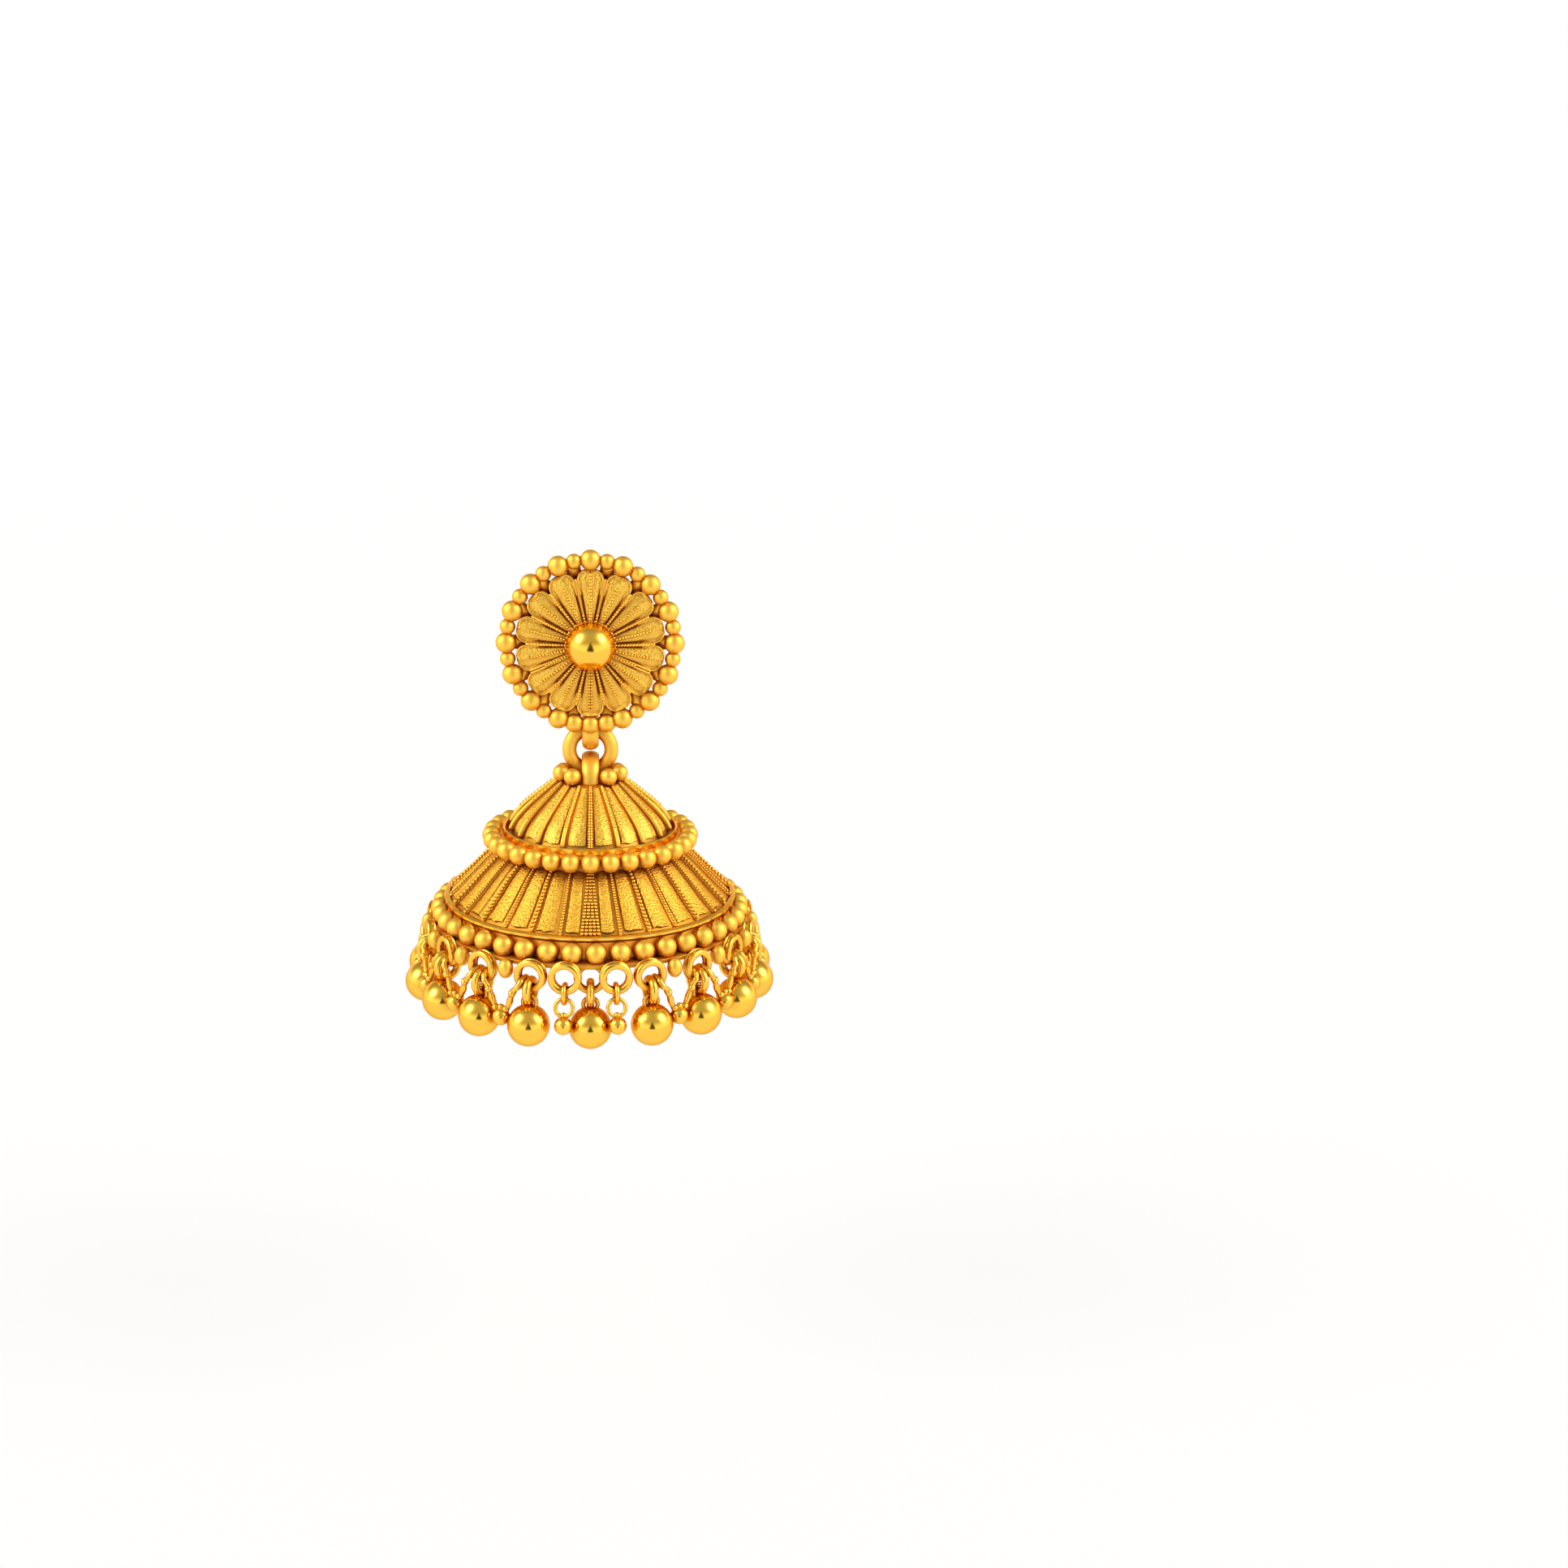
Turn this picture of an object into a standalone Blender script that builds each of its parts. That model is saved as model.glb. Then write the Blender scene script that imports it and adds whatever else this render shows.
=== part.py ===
"""A jhumka, the bell-shaped drop earring, in gold-coloured metal.

A round stud with a flower and a border of beads carries a jump ring, and a bell of two
domes hangs from that ring by its bail. Loops under the bell's rim hold a fringe of large
and small balls. Metres, +Z up. The front faces -Y. The origin is on the stud's flat back,
where the ear post starts, and the bell's axis is the Z axis.
"""

import math

import bmesh
import bpy
from mathutils import Matrix, Vector

MM = 0.001

# Stud
BORDER_RADIUS = 8.25 * MM  # circle through the centres of the border's beads
BORDER_PAIRS = 16  # one large bead and one small bead in each pair
LARGE_BEAD = 1.93 * MM
SMALL_BEAD = 1.40 * MM
BOTTOM_BEAD = 1.77 * MM  # the three beads over the jump ring
PETALS = 14
ROSETTE_RADIUS = 7.35 * MM
NOTCH_DEPTH = 0.75 * MM  # how far the outline dips between two petals
GROOVE_DEPTH = 0.28 * MM
PLATE_THICKNESS = 0.7 * MM
PLATE_MARGIN = 0.25 * MM  # the plate's gaps end this far inside the petals' notches
SPOKE_REACH = 0.35 * MM  # the plate's spokes end this far short of the bead centres
ROSETTE_RISE = 0.95 * MM  # from the petal tips to the flower's middle
BORDER_SEAT = 0.25 * MM  # how far the border's flat back stands behind the bead centres
CENTRE_BALL = 4.8 * MM
CENTRE_BALL_RISE = 0.8 * MM  # the ball's centre over the flower's middle
POST_DIAMETER = 0.9 * MM
POST_LENGTH = 10.5 * MM

# Jump ring and the eye that holds it
RING_WIRE = 1.41 * MM
RING_HOLE = 2.77 * MM
RING_CLEARANCE = 0.28 * MM
HANG_ANGLE = math.radians(29)  # from the bottom bead back and down to the ring's wire
EYE_WALL = 1.08 * MM
EYE_WIDTH = 1.75 * MM

# Bail and collar on top of the bell
BAIL_WALL = 0.88 * MM
BAIL_WIDTH = 1.9 * MM
BAIL_CLEARANCE = 0.16 * MM
CAP_CLEARANCE = 0.3 * MM
CAP_DISH = 0.15 * MM  # the cap's edge stands this much over its middle
COLLAR_BEAD = 1.71 * MM
COLLAR_RADIUS = 3.1 * MM
COLLAR_SLOTS = 10  # the bail's two feet stand in the first and the sixth
SOLDER = 0.1 * MM  # how deep a soldered bead sits in its seat

# Bell
UPPER_HEIGHT = 4.94 * MM
UPPER_RADIUS = 8.12 * MM
UPPER_RIBS = 18
UPPER_LIP = 0.47 * MM  # how far the lip stands out from the dome
LIP_THICKNESS = 0.4 * MM
TIER_DROP = 2.0 * MM  # from the upper dome's rim to the top of the lower dome
LOWER_HEIGHT = 4.85 * MM
LOWER_RADIUS = 14.32 * MM
LOWER_RIBS = 30
LOWER_LIP = 0.3 * MM
RIB_RISE = 0.32 * MM
DOME_WALL = 0.75 * MM
UPPER_BEAD = 1.91 * MM
UPPER_BEAD_RADIUS = 9.91 * MM
UPPER_BEAD_DROP = 1.0 * MM  # bead centres below the upper dome's rim
UPPER_BEADS = 32
UPPER_FACING = math.radians(45)  # the beads' free side faces outwards and this much up
LOWER_BEAD = 2.12 * MM
LOWER_BEAD_RADIUS = 14.99 * MM
LOWER_BEAD_DROP = 1.62 * MM
LOWER_BEADS = 40
RIM_THICKNESS = 0.45 * MM
LOWER_FACING = math.radians(36)
RIM_DROP = 1.1 * MM  # the rim wire's middle below the lower bead centres

# Fringe
BIG_DROPS = 18
LOOP_WALL = 0.64 * MM
LOOP_HOLE = 1.96 * MM
LOOP_DEPTH = 1.0 * MM
LOOP_RADIUS = 16.2 * MM
LOOP_BITE = 0.18 * MM  # how far the rim reaches into the loops
LOOP_DROP = 2.1 * MM  # the loops' centres below the lower bead centres
LINK_WIRE = 0.8 * MM
LINK_HOLE = 1.36 * MM
LINK_CLEARANCE = 0.1 * MM
BIG_BALL = 4.16 * MM
BALL_BITE = 0.18 * MM  # how far the link's bottom sits in the ball
BIG_SPLAY = math.radians(9)
SMALL_BALL = 1.72 * MM
THIN_WIRE = 0.46 * MM
THIN_HOLE = 1.3 * MM
SMALL_EYE = 2.1 * MM
SMALL_EYE_WIRE = 0.4 * MM
SMALL_SPLAY = math.radians(19)
SMALL_DROP = 3.14 * MM  # a small ball's centre below the bottom of its loop
ARM_WIRE = 0.36 * MM
ARM_CLEARANCE = 0.1 * MM
FRONT_SMALL_ANGLE = math.radians(8.7)  # the two small drops that have loops of their own
FRONT_SQUEEZE = math.radians(0.8)  # how far those loops push their neighbours aside
CENTRE_RECESS = 1.1 * MM  # the front loop stands behind its two neighbours
CENTRE_DROP = 0.3 * MM
CENTRE_DEPTH = 0.6 * MM

# Dome outlines: share of the height from the top down, share of the rim's radius
UPPER_OUTLINE = ((0.0, 0.42), (0.25, 0.605), (0.5, 0.775), (0.75, 0.92), (1.0, 1.0))
LOWER_OUTLINE = ((0.0, 0.648), (0.4, 0.792), (0.8, 0.925), (1.0, 1.0))

BEAD_SIDES = 10
RING_SIDES = 14
LINK_SIDES = 10
LINK_WIRE_SIDES = 5
INNER_SIDES = 14
POST_SIDES = 6
NECK_SHARE = 0.42  # a bead string's neck against its beads
SHOULDER_SHARE = 0.4  # where a bead's shoulders are, as a share of its radius

# Heights and depths that follow from the sizes above
hang_distance = BOTTOM_BEAD / 2 + RING_WIRE / 2 + RING_CLEARANCE
border_depth = hang_distance * math.cos(HANG_ANGLE)
swing_z = -BORDER_RADIUS - hang_distance * math.sin(HANG_ANGLE)
ring_mean = (RING_HOLE + RING_WIRE) / 2
ring_z = swing_z - ring_mean
cap_z = ring_z - ring_mean - RING_WIRE / 2 - CAP_CLEARANCE
upper_top_z = cap_z + CAP_DISH
upper_rim_z = upper_top_z - UPPER_HEIGHT
lower_top_z = upper_rim_z - TIER_DROP
lower_rim_z = lower_top_z - LOWER_HEIGHT
upper_bead_z = upper_rim_z - UPPER_BEAD_DROP
lower_bead_z = lower_rim_z - LOWER_BEAD_DROP
rim_z = lower_bead_z - RIM_DROP
loop_mean = (LOOP_HOLE + LOOP_WALL) / 2
loop_z = lower_bead_z - LOOP_DROP
loop_low_z = loop_z - loop_mean
link_mean = (LINK_HOLE + LINK_WIRE) / 2


def material(name, colour, roughness):
    made = bpy.data.materials.new(name)
    made.use_nodes = True
    shader = made.node_tree.nodes["Principled BSDF"]
    shader.inputs["Base Color"].default_value = (*colour, 1)
    shader.inputs["Metallic"].default_value = 1
    shader.inputs["Roughness"].default_value = roughness
    return made


def add_loft(bm, rings, closed=False):
    """Joins rings of points into a closed skin.

    Neighbouring rings may differ in their number of points, and a ring at either end may
    be one point.
    """
    rows = [[bm.verts.new(point) for point in ring] for ring in rings]
    following = rows[1:] + rows[:1] if closed else rows[1:]
    for low, high in zip(rows, following):
        i = j = 0
        while i < len(low) or j < len(high):
            next_low = (i + 1) / len(low) if len(low) > 1 else 2
            next_high = (j + 1) / len(high) if len(high) > 1 else 2
            if min(next_low, next_high) > 1.5:
                break
            further_i = i + (next_low <= next_high + 1e-9)
            further_j = j + (next_high <= next_low + 1e-9)
            corners = (
                low[i % len(low)],
                low[further_i % len(low)],
                high[further_j % len(high)],
                high[j % len(high)],
            )
            bm.faces.new(list(dict.fromkeys(corners)))
            i, j = further_i, further_j
            if max(i / len(low), j / len(high)) >= 1 and min(next_low, next_high) >= 1 - 1e-9:
                break
    if not closed:
        for row in (rows[0], rows[-1]):
            if len(row) > 2:
                bm.faces.new(row)


def around(radius, height, sides):
    """Points on a level circle, counted from the front towards +X."""
    if radius == 0:
        return [Vector((0, 0, height))]
    turns = [math.tau * i / sides for i in range(sides)]
    return [Vector((radius * math.sin(a), -radius * math.cos(a), height)) for a in turns]


def at(radius, angle, height):
    return Vector((radius * math.sin(angle), -radius * math.cos(angle), height))


def add_turned(bm, profile, sides, place=Matrix()):
    """Turns (radius, height) rows about the Z axis of place."""
    add_loft(bm, [[place @ p for p in around(r, h, sides)] for r, h in profile])


def ribbed(radius, height, ribs):
    """Points on a level circle where every other point, from the front on, is on a rib."""
    turns = [math.pi * i / ribs for i in range(2 * ribs)]
    return [at(radius - (RIB_RISE if i % 2 else 0), a, height) for i, a in enumerate(turns)]


def add_ball(bm, centre, diameter, polar):
    """A ball with a ring of corners at each polar angle, in degrees from its top."""
    r = diameter / 2
    rows = [(r * math.sin(math.radians(a)), r * math.cos(math.radians(a))) for a in polar]
    add_turned(bm, [(0, r), *rows, (0, -r)], BEAD_SIDES, Matrix.Translation(centre))


def add_ring(bm, place, mean, wall, width, sides, wire_sides, sweep=math.tau):
    """A ring of wire round place's Z axis, or an arc of it centred on the local -Y."""
    closed = sweep == math.tau
    count = sides if closed else sides + 1
    rings = []
    for i in range(count):
        turn = sweep * i / sides - (0 if closed else sweep / 2)
        ring = []
        for j in range(wire_sides):
            a = math.tau * j / wire_sides
            point = at(mean + wall / 2 * math.cos(a), turn, width / 2 * math.sin(a))
            ring.append(place @ point)
        rings.append(ring)
    add_loft(bm, rings, closed)


def add_band(bm, place, mean, wall, width, sides):
    """A flat band bent into a ring round place's Z axis."""
    low, high = mean - wall / 2, mean + wall / 2
    corners = ((low, -width / 2), (high, -width / 2), (high, width / 2), (low, width / 2))
    add_loft(bm, [[place @ p for p in around(r, z, sides)] for r, z in corners], closed=True)


def add_wire(bm, points, diameter, sides):
    """A wire along straight runs between the points."""
    rings = []
    for i, point in enumerate(points):
        along = (points[min(i + 1, len(points) - 1)] - points[max(i - 1, 0)]).normalized()
        side = along.cross(Vector((0, 0, 1)))
        side = side.normalized() if side.length > 0.1 else Vector((1, 0, 0))
        up = side.cross(along)
        turns = [math.tau * j / sides for j in range(sides)]
        rings.append([point + (side * math.cos(a) + up * math.sin(a)) * diameter / 2 for a in turns])
    add_loft(bm, rings)


def bead_rings(radius, height, beads, facing, steps):
    """Rings over a soldered row of beads, each bead given as (angle, diameter).

    The rings run over the side of each bead that faces outwards and up by the angle
    facing, in steps of one facet. The other side sits in the metal behind.
    """
    stations = []
    for i, (angle, diameter) in enumerate(beads):
        next_angle, next_diameter = beads[(i + 1) % len(beads)]
        gap = (next_angle - angle) % math.tau
        shoulder = SHOULDER_SHARE * diameter / 2 / radius
        neck = angle + gap * diameter / (diameter + next_diameter)
        stations.append((angle - shoulder, diameter / 2))
        stations.append((angle + shoulder, diameter / 2))
        stations.append((neck, NECK_SHARE * min(diameter, next_diameter) / 2))
    rings = []
    for j in range(steps + 1):
        a = facing + math.tau * (steps / 2 - j) / BEAD_SIDES
        rings.append([at(radius + r * math.cos(a), turn, height + r * math.sin(a)) for turn, r in stations])
    return rings


def finished(name, bm, finish, helper=False):
    """Turns a bmesh into an object, flat faces up to 35 degrees apart shaded as one surface."""
    bmesh.ops.triangulate(bm, faces=bm.faces)
    bmesh.ops.recalc_face_normals(bm, faces=bm.faces)
    mesh = bpy.data.meshes.new(name)
    bm.to_mesh(mesh)
    bm.free()
    mesh.materials.append(finish)
    mesh.shade_smooth()
    mesh.set_sharp_from_angle(angle=math.radians(35))
    made = bpy.data.objects.new(name, mesh)
    bpy.context.scene.collection.objects.link(made)
    if helper:
        made.hide_render = True
        made.display_type = "WIRE"
    return made


def combine(target, other, operation="UNION"):
    modifier = target.modifiers.new(other.name, "BOOLEAN")
    modifier.operation = operation
    modifier.object = other


def petal_ring(groove_radius, groove_depth, tip_radius, tip_depth):
    """One closed ring of the stud: a groove and the two shoulders of a petal, in turn."""
    ring = []
    for i in range(PETALS):
        middle = math.tau * i / PETALS
        third = math.tau / PETALS / 3
        for turn, radius, depth in (
            (middle - 1.5 * third, groove_radius, groove_depth),
            (middle - 0.7 * third, tip_radius, tip_depth),
            (middle + 0.7 * third, tip_radius, tip_depth),
        ):
            ring.append(Vector((radius * math.sin(turn), -depth, radius * math.cos(turn))))
    return ring


def stud(finish):
    """The flower and its plate, the border of beads, the ring's eye and the ear post."""
    notch = ROSETTE_RADIUS - NOTCH_DEPTH
    plate = notch - PLATE_MARGIN
    spoke = BORDER_RADIUS - SPOKE_REACH
    middle = border_depth + ROSETTE_RISE
    halfway = (ROSETTE_RADIUS + CENTRE_BALL / 2) / 2
    flower = bmesh.new()
    add_loft(
        flower,
        [
            [Vector()],
            petal_ring(plate, 0, spoke, 0),
            petal_ring(plate, PLATE_THICKNESS, spoke, border_depth),
            petal_ring(notch, border_depth, ROSETTE_RADIUS, border_depth + PLATE_MARGIN),
            petal_ring(halfway, middle - GROOVE_DEPTH, halfway, middle),
            petal_ring(CENTRE_BALL / 2, middle, CENTRE_BALL / 2, middle),
        ],
    )
    made = finished("stud", flower, finish)

    border = bmesh.new()
    upright = Matrix.Rotation(math.radians(90), 4, "X")
    beads = []
    for i in range(2 * BORDER_PAIRS):
        diameter = SMALL_BEAD if i % 2 else LARGE_BEAD
        if i in (0, 1, 2 * BORDER_PAIRS - 1):
            diameter = BOTTOM_BEAD
        beads.append((math.pi * i / BORDER_PAIRS, diameter))
    rings = bead_rings(BORDER_RADIUS, border_depth - BORDER_SEAT, beads, math.radians(90), 5)
    add_loft(border, [[upright @ point for point in ring] for ring in rings], closed=True)
    combine(made, finished("border_beads", border, finish, helper=True))

    fittings = bmesh.new()
    ball = Vector((0, -middle - CENTRE_BALL_RISE, 0))
    add_ball(fittings, ball, CENTRE_BALL, (30, 65, 100, 140))
    post = Matrix.Rotation(math.radians(-90), 4, "X")
    rows = [(POST_DIAMETER / 2, -PLATE_THICKNESS / 2), (POST_DIAMETER / 2, POST_LENGTH)]
    add_turned(fittings, rows, POST_SIDES, post)
    hole = RING_WIRE / 2 + RING_CLEARANCE
    sideways = Matrix.Translation((0, 0, swing_z)) @ Matrix.Rotation(math.radians(90), 4, "Y")
    add_ring(fittings, sideways, hole + EYE_WALL / 2, EYE_WALL, EYE_WIDTH, LINK_SIDES, 6)
    combine(made, finished("stud_fittings", fittings, finish, helper=True))
    return made


def jump_ring(finish):
    bm = bmesh.new()
    place = Matrix.Translation((0, 0, ring_z)) @ Matrix.Rotation(math.radians(90), 4, "X")
    add_ring(bm, place, ring_mean, RING_WIRE, RING_WIRE, RING_SIDES, 6)
    return finished("jump_ring", bm, finish)


def outline(shares, top_z, height, radius):
    return [(radius * r, top_z - height * h) for h, r in shares]


def bell_skin():
    """Rings over the bell's outside from the cap down to the rim, then back up inside."""
    upper = outline(UPPER_OUTLINE, upper_top_z, UPPER_HEIGHT, UPPER_RADIUS)
    lower = outline(LOWER_OUTLINE, lower_top_z, LOWER_HEIGHT, LOWER_RADIUS)
    upper_lip = UPPER_RADIUS + UPPER_LIP
    lower_lip = LOWER_RADIUS + LOWER_LIP
    band = LOWER_BEAD_RADIUS - LOWER_BEAD / 2 + SOLDER
    rim = LOOP_RADIUS - LOOP_DEPTH / 2 + LOOP_BITE

    rings = [around(0, cap_z, 1), around(upper[0][0] * 0.75, upper_top_z, UPPER_RIBS)]
    rings += [ribbed(r, z, UPPER_RIBS) for r, z in upper]
    rings.append(around(upper_lip, upper_rim_z - LIP_THICKNESS / 2, UPPER_BEADS))
    beads = [(math.tau * i / UPPER_BEADS, UPPER_BEAD) for i in range(UPPER_BEADS)]
    rings += bead_rings(UPPER_BEAD_RADIUS, upper_bead_z, beads, UPPER_FACING, 4)
    rings += [ribbed(r, z, LOWER_RIBS) for r, z in lower]
    rings.append(around(lower_lip, lower_rim_z - LIP_THICKNESS / 2, LOWER_BEADS))
    beads = [(math.tau * i / LOWER_BEADS, LOWER_BEAD) for i in range(LOWER_BEADS)]
    rings += bead_rings(LOWER_BEAD_RADIUS, lower_bead_z, beads, LOWER_FACING, 4)
    rings.append(around(rim, rim_z + RIM_THICKNESS / 2, LOWER_BEADS))
    rings.append(around(rim, rim_z - RIM_THICKNESS / 2, LOWER_BEADS))

    inset = RIB_RISE + DOME_WALL
    rings.append(around(band - DOME_WALL, rim_z - RIM_THICKNESS / 2, INNER_SIDES))
    inner = [upper[0], upper[2], upper[4], lower[0], lower[3]]
    for r, z in reversed(inner):
        top = z - DOME_WALL if z == upper_top_z else z
        rings.append(around(r - inset, top, INNER_SIDES))
    rings.append(around(0, cap_z - DOME_WALL, 1))
    return rings


def big_places():
    """(angle, how far back, how far down) of the loop of each big drop, from the front."""
    places = []
    for i in range(BIG_DROPS):
        angle = math.tau * i / BIG_DROPS
        if i == 0:
            places.append((angle, CENTRE_RECESS, CENTRE_DROP))
        elif i in (1, BIG_DROPS - 1):
            places.append((angle + (FRONT_SQUEEZE if i == 1 else -FRONT_SQUEEZE), 0, 0))
        else:
            places.append((angle, 0, 0))
    return places


def loop_place(angle, recess, lower):
    """Centre of a loop, with its axis pointing away from the bell's axis."""
    spot = Matrix.Translation(at(LOOP_RADIUS - recess, angle, loop_z - lower))
    return spot @ Matrix.Rotation(angle, 4, "Z") @ Matrix.Rotation(math.radians(90), 4, "X")


def bell(finish):
    bm = bmesh.new()
    add_loft(bm, bell_skin())
    made = finished("bell", bm, finish)

    bm = bmesh.new()
    for i in range(COLLAR_SLOTS):
        if i % (COLLAR_SLOTS // 2):
            seat = upper_top_z + COLLAR_BEAD / 2 - SOLDER
            centre = at(COLLAR_RADIUS, math.tau * i / COLLAR_SLOTS, seat)
            add_ball(bm, centre, COLLAR_BEAD, (45, 90, 135))
    arch = RING_WIRE + BAIL_CLEARANCE + CAP_CLEARANCE + BAIL_WALL / 2
    turned = Matrix.Rotation(math.radians(90), 4, "Y") @ Matrix.Rotation(math.radians(-90), 4, "Z")
    place = Matrix.Translation((0, 0, cap_z)) @ turned
    add_ring(bm, place, arch, BAIL_WALL, BAIL_WIDTH, BEAD_SIDES, 6, math.radians(196))
    for angle, recess, lower in big_places():
        depth = CENTRE_DEPTH if recess else LOOP_DEPTH
        place = loop_place(angle, recess, lower)
        add_band(bm, place, loop_mean, LOOP_WALL, depth, LINK_SIDES)
    for angle in (FRONT_SMALL_ANGLE, -FRONT_SMALL_ANGLE):
        place = loop_place(angle, 0, 0)
        add_band(bm, place, loop_mean, LOOP_WALL, LOOP_DEPTH, LINK_SIDES)
    combine(made, finished("bell_fittings", bm, finish, helper=True))
    return made


def hanging_place(angle, recess, lower, splay):
    """A frame at the bottom of a loop's wire: -Y away from the bell, -Z down the drop."""
    spot = Matrix.Translation(at(LOOP_RADIUS - recess, angle, loop_low_z - lower))
    return spot @ Matrix.Rotation(angle, 4, "Z") @ Matrix.Rotation(-splay, 4, "X")


def big_drop(name, angle, recess, lower, finish):
    """A ring through the loop, with a ball fused to its bottom."""
    place = hanging_place(angle, recess, lower, BIG_SPLAY)
    link_z = LOOP_WALL / 2 + LINK_CLEARANCE - LINK_HOLE / 2
    link = place @ Matrix.Translation((0, 0, link_z)) @ Matrix.Rotation(math.radians(90), 4, "Y")
    bm = bmesh.new()
    add_ring(bm, link, link_mean, LINK_WIRE, LINK_WIRE, LINK_SIDES, LINK_WIRE_SIDES)
    made = finished(name, bm, finish)

    r = BIG_BALL / 2
    centre = place @ Matrix.Translation((0, 0, link_z - link_mean - LINK_WIRE / 2 + BALL_BITE - r))
    polar = [math.radians(a) for a in (25, 62, 100, 140)]
    rows = [(r * math.sin(a), r * math.cos(a)) for a in polar]
    ball = bmesh.new()
    add_turned(ball, [(0, r), *rows, (0, -r)], BEAD_SIDES, centre)
    combine(made, finished(name + "_ball", ball, finish, helper=True))
    return made


def small_drop_on_loop(name, angle, finish):
    """A thin ring through the loop, and a ball whose eye hangs in that ring."""
    place = hanging_place(angle, 0, 0, SMALL_SPLAY)
    link_z = LOOP_WALL / 2 + LINK_CLEARANCE - THIN_HOLE / 2
    bm = bmesh.new()
    link = place @ Matrix.Translation((0, 0, link_z)) @ Matrix.Rotation(math.radians(90), 4, "Y")
    add_ring(bm, link, (THIN_HOLE + THIN_WIRE) / 2, THIN_WIRE, THIN_WIRE, LINK_SIDES, LINK_WIRE_SIDES)
    made = finished(name, bm, finish)

    eye_z = link_z - THIN_HOLE / 2 - (SMALL_EYE / 2 - SMALL_EYE_WIRE) - SOLDER
    ball_z = eye_z - SMALL_EYE / 2 + 2 * SOLDER - SMALL_BALL / 2
    eye = place @ Matrix.Translation((0, 0, eye_z)) @ Matrix.Rotation(math.radians(90), 4, "X")
    bm = bmesh.new()
    mean = (SMALL_EYE - SMALL_EYE_WIRE) / 2
    add_ring(bm, eye, mean, SMALL_EYE_WIRE, SMALL_EYE_WIRE, LINK_SIDES, LINK_WIRE_SIDES)
    combine(made, finished(name + "_eye", bm, finish, helper=True))
    bm = bmesh.new()
    add_ball(bm, place @ Vector((0, 0, ball_z)), SMALL_BALL, (45, 90, 135))
    combine(made, finished(name + "_ball", bm, finish, helper=True))
    return made


def small_drop_on_arms(name, angle, neighbours, finish):
    """A ball on two bent arms that hook into the loops on either side of it."""
    centre = hanging_place(angle, 0, 0, SMALL_SPLAY) @ Vector((0, 0, -SMALL_DROP))
    bm = bmesh.new()
    add_ball(bm, centre, SMALL_BALL, (45, 90, 135))
    made = finished(name, bm, finish)

    front = LOOP_RADIUS + LOOP_DEPTH / 2 + ARM_WIRE / 2 + ARM_CLEARANCE
    behind = LOOP_RADIUS - LOOP_DEPTH / 2 - ARM_WIRE / 2
    hook = LINK_WIRE / 2 + ARM_CLEARANCE + ARM_WIRE / 2
    for number, loop_angle in enumerate(neighbours):
        side = 1 if angle > loop_angle else -1
        hooked = loop_angle + side * hook / LOOP_RADIUS
        points = [
            centre + Vector((0, 0, SMALL_BALL / 4)),
            at(front, hooked, loop_z - ARM_WIRE / 2),
            at(behind, hooked, loop_z - ARM_WIRE / 2),
        ]
        arm = bmesh.new()
        add_wire(arm, points, ARM_WIRE, 4)
        combine(made, finished(f"{name}_arm_{number}", arm, finish, helper=True))
    return made


def fringe(polished):
    places = big_places()
    for i, (angle, recess, lower) in enumerate(places):
        big_drop(f"big_drop_{i + 1:02d}", angle, recess, lower, polished)
    for i in range(BIG_DROPS):
        name = f"small_drop_{i + 1:02d}"
        if i == 0:
            small_drop_on_loop(name, FRONT_SMALL_ANGLE, polished)
        elif i == BIG_DROPS - 1:
            small_drop_on_loop(name, -FRONT_SMALL_ANGLE, polished)
        else:
            middle = math.tau * (i + 0.5) / BIG_DROPS
            sides = (places[i][0], places[(i + 1) % BIG_DROPS][0])
            small_drop_on_arms(name, middle, sides, polished)


def main():
    for old in list(bpy.data.objects):
        bpy.data.objects.remove(old)
    stippled = material("stippled_gold", (0.83, 0.52, 0.11), 0.38)
    polished = material("polished_gold", (0.9, 0.6, 0.16), 0.15)
    stud(stippled)
    jump_ring(polished)
    bell(stippled)
    fringe(polished)


main()
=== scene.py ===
"""The looks of the jhumka earring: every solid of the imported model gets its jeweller's form.

Sizes are in millimetres, in the model's own frame: +Z up along the bell's axis, -Y out of
the flower's face, the origin on the stud's flat back. Angles round the bell are counted
from the front towards +X, and angles round the stud from its top towards +X.
"""

import math
import random

import bpy
import numpy as np
from mathutils import Matrix, Vector


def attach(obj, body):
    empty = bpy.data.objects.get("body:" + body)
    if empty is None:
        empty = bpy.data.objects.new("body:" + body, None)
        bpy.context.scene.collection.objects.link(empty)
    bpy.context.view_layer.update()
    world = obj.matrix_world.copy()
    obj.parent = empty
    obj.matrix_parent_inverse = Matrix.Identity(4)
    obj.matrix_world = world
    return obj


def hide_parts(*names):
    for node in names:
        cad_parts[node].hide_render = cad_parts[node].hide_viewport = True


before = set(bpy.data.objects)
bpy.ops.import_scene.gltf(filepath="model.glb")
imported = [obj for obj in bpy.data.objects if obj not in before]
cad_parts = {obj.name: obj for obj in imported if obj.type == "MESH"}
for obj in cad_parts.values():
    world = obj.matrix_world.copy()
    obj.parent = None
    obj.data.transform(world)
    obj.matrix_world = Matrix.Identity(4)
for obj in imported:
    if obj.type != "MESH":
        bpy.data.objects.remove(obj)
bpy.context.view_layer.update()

MM = 0.001
chance = random.Random(11)

# Camera, from the photograph of 1932 x 1932 pixels
PHOTO_SIDE = 1932
EARRING_PIXEL = (727.5, 1009.7)  # where the photo shows the point AIM on the bell's axis
AIM = Vector((0, 0, -18.58))
CAMERA_DISTANCE = 262.4
CAMERA_DISTANCE_PIXELS = 3200  # the same distance, in pixels of the photo
CAMERA_HEIGHT = math.radians(16.5)
SENSOR = 36

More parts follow.
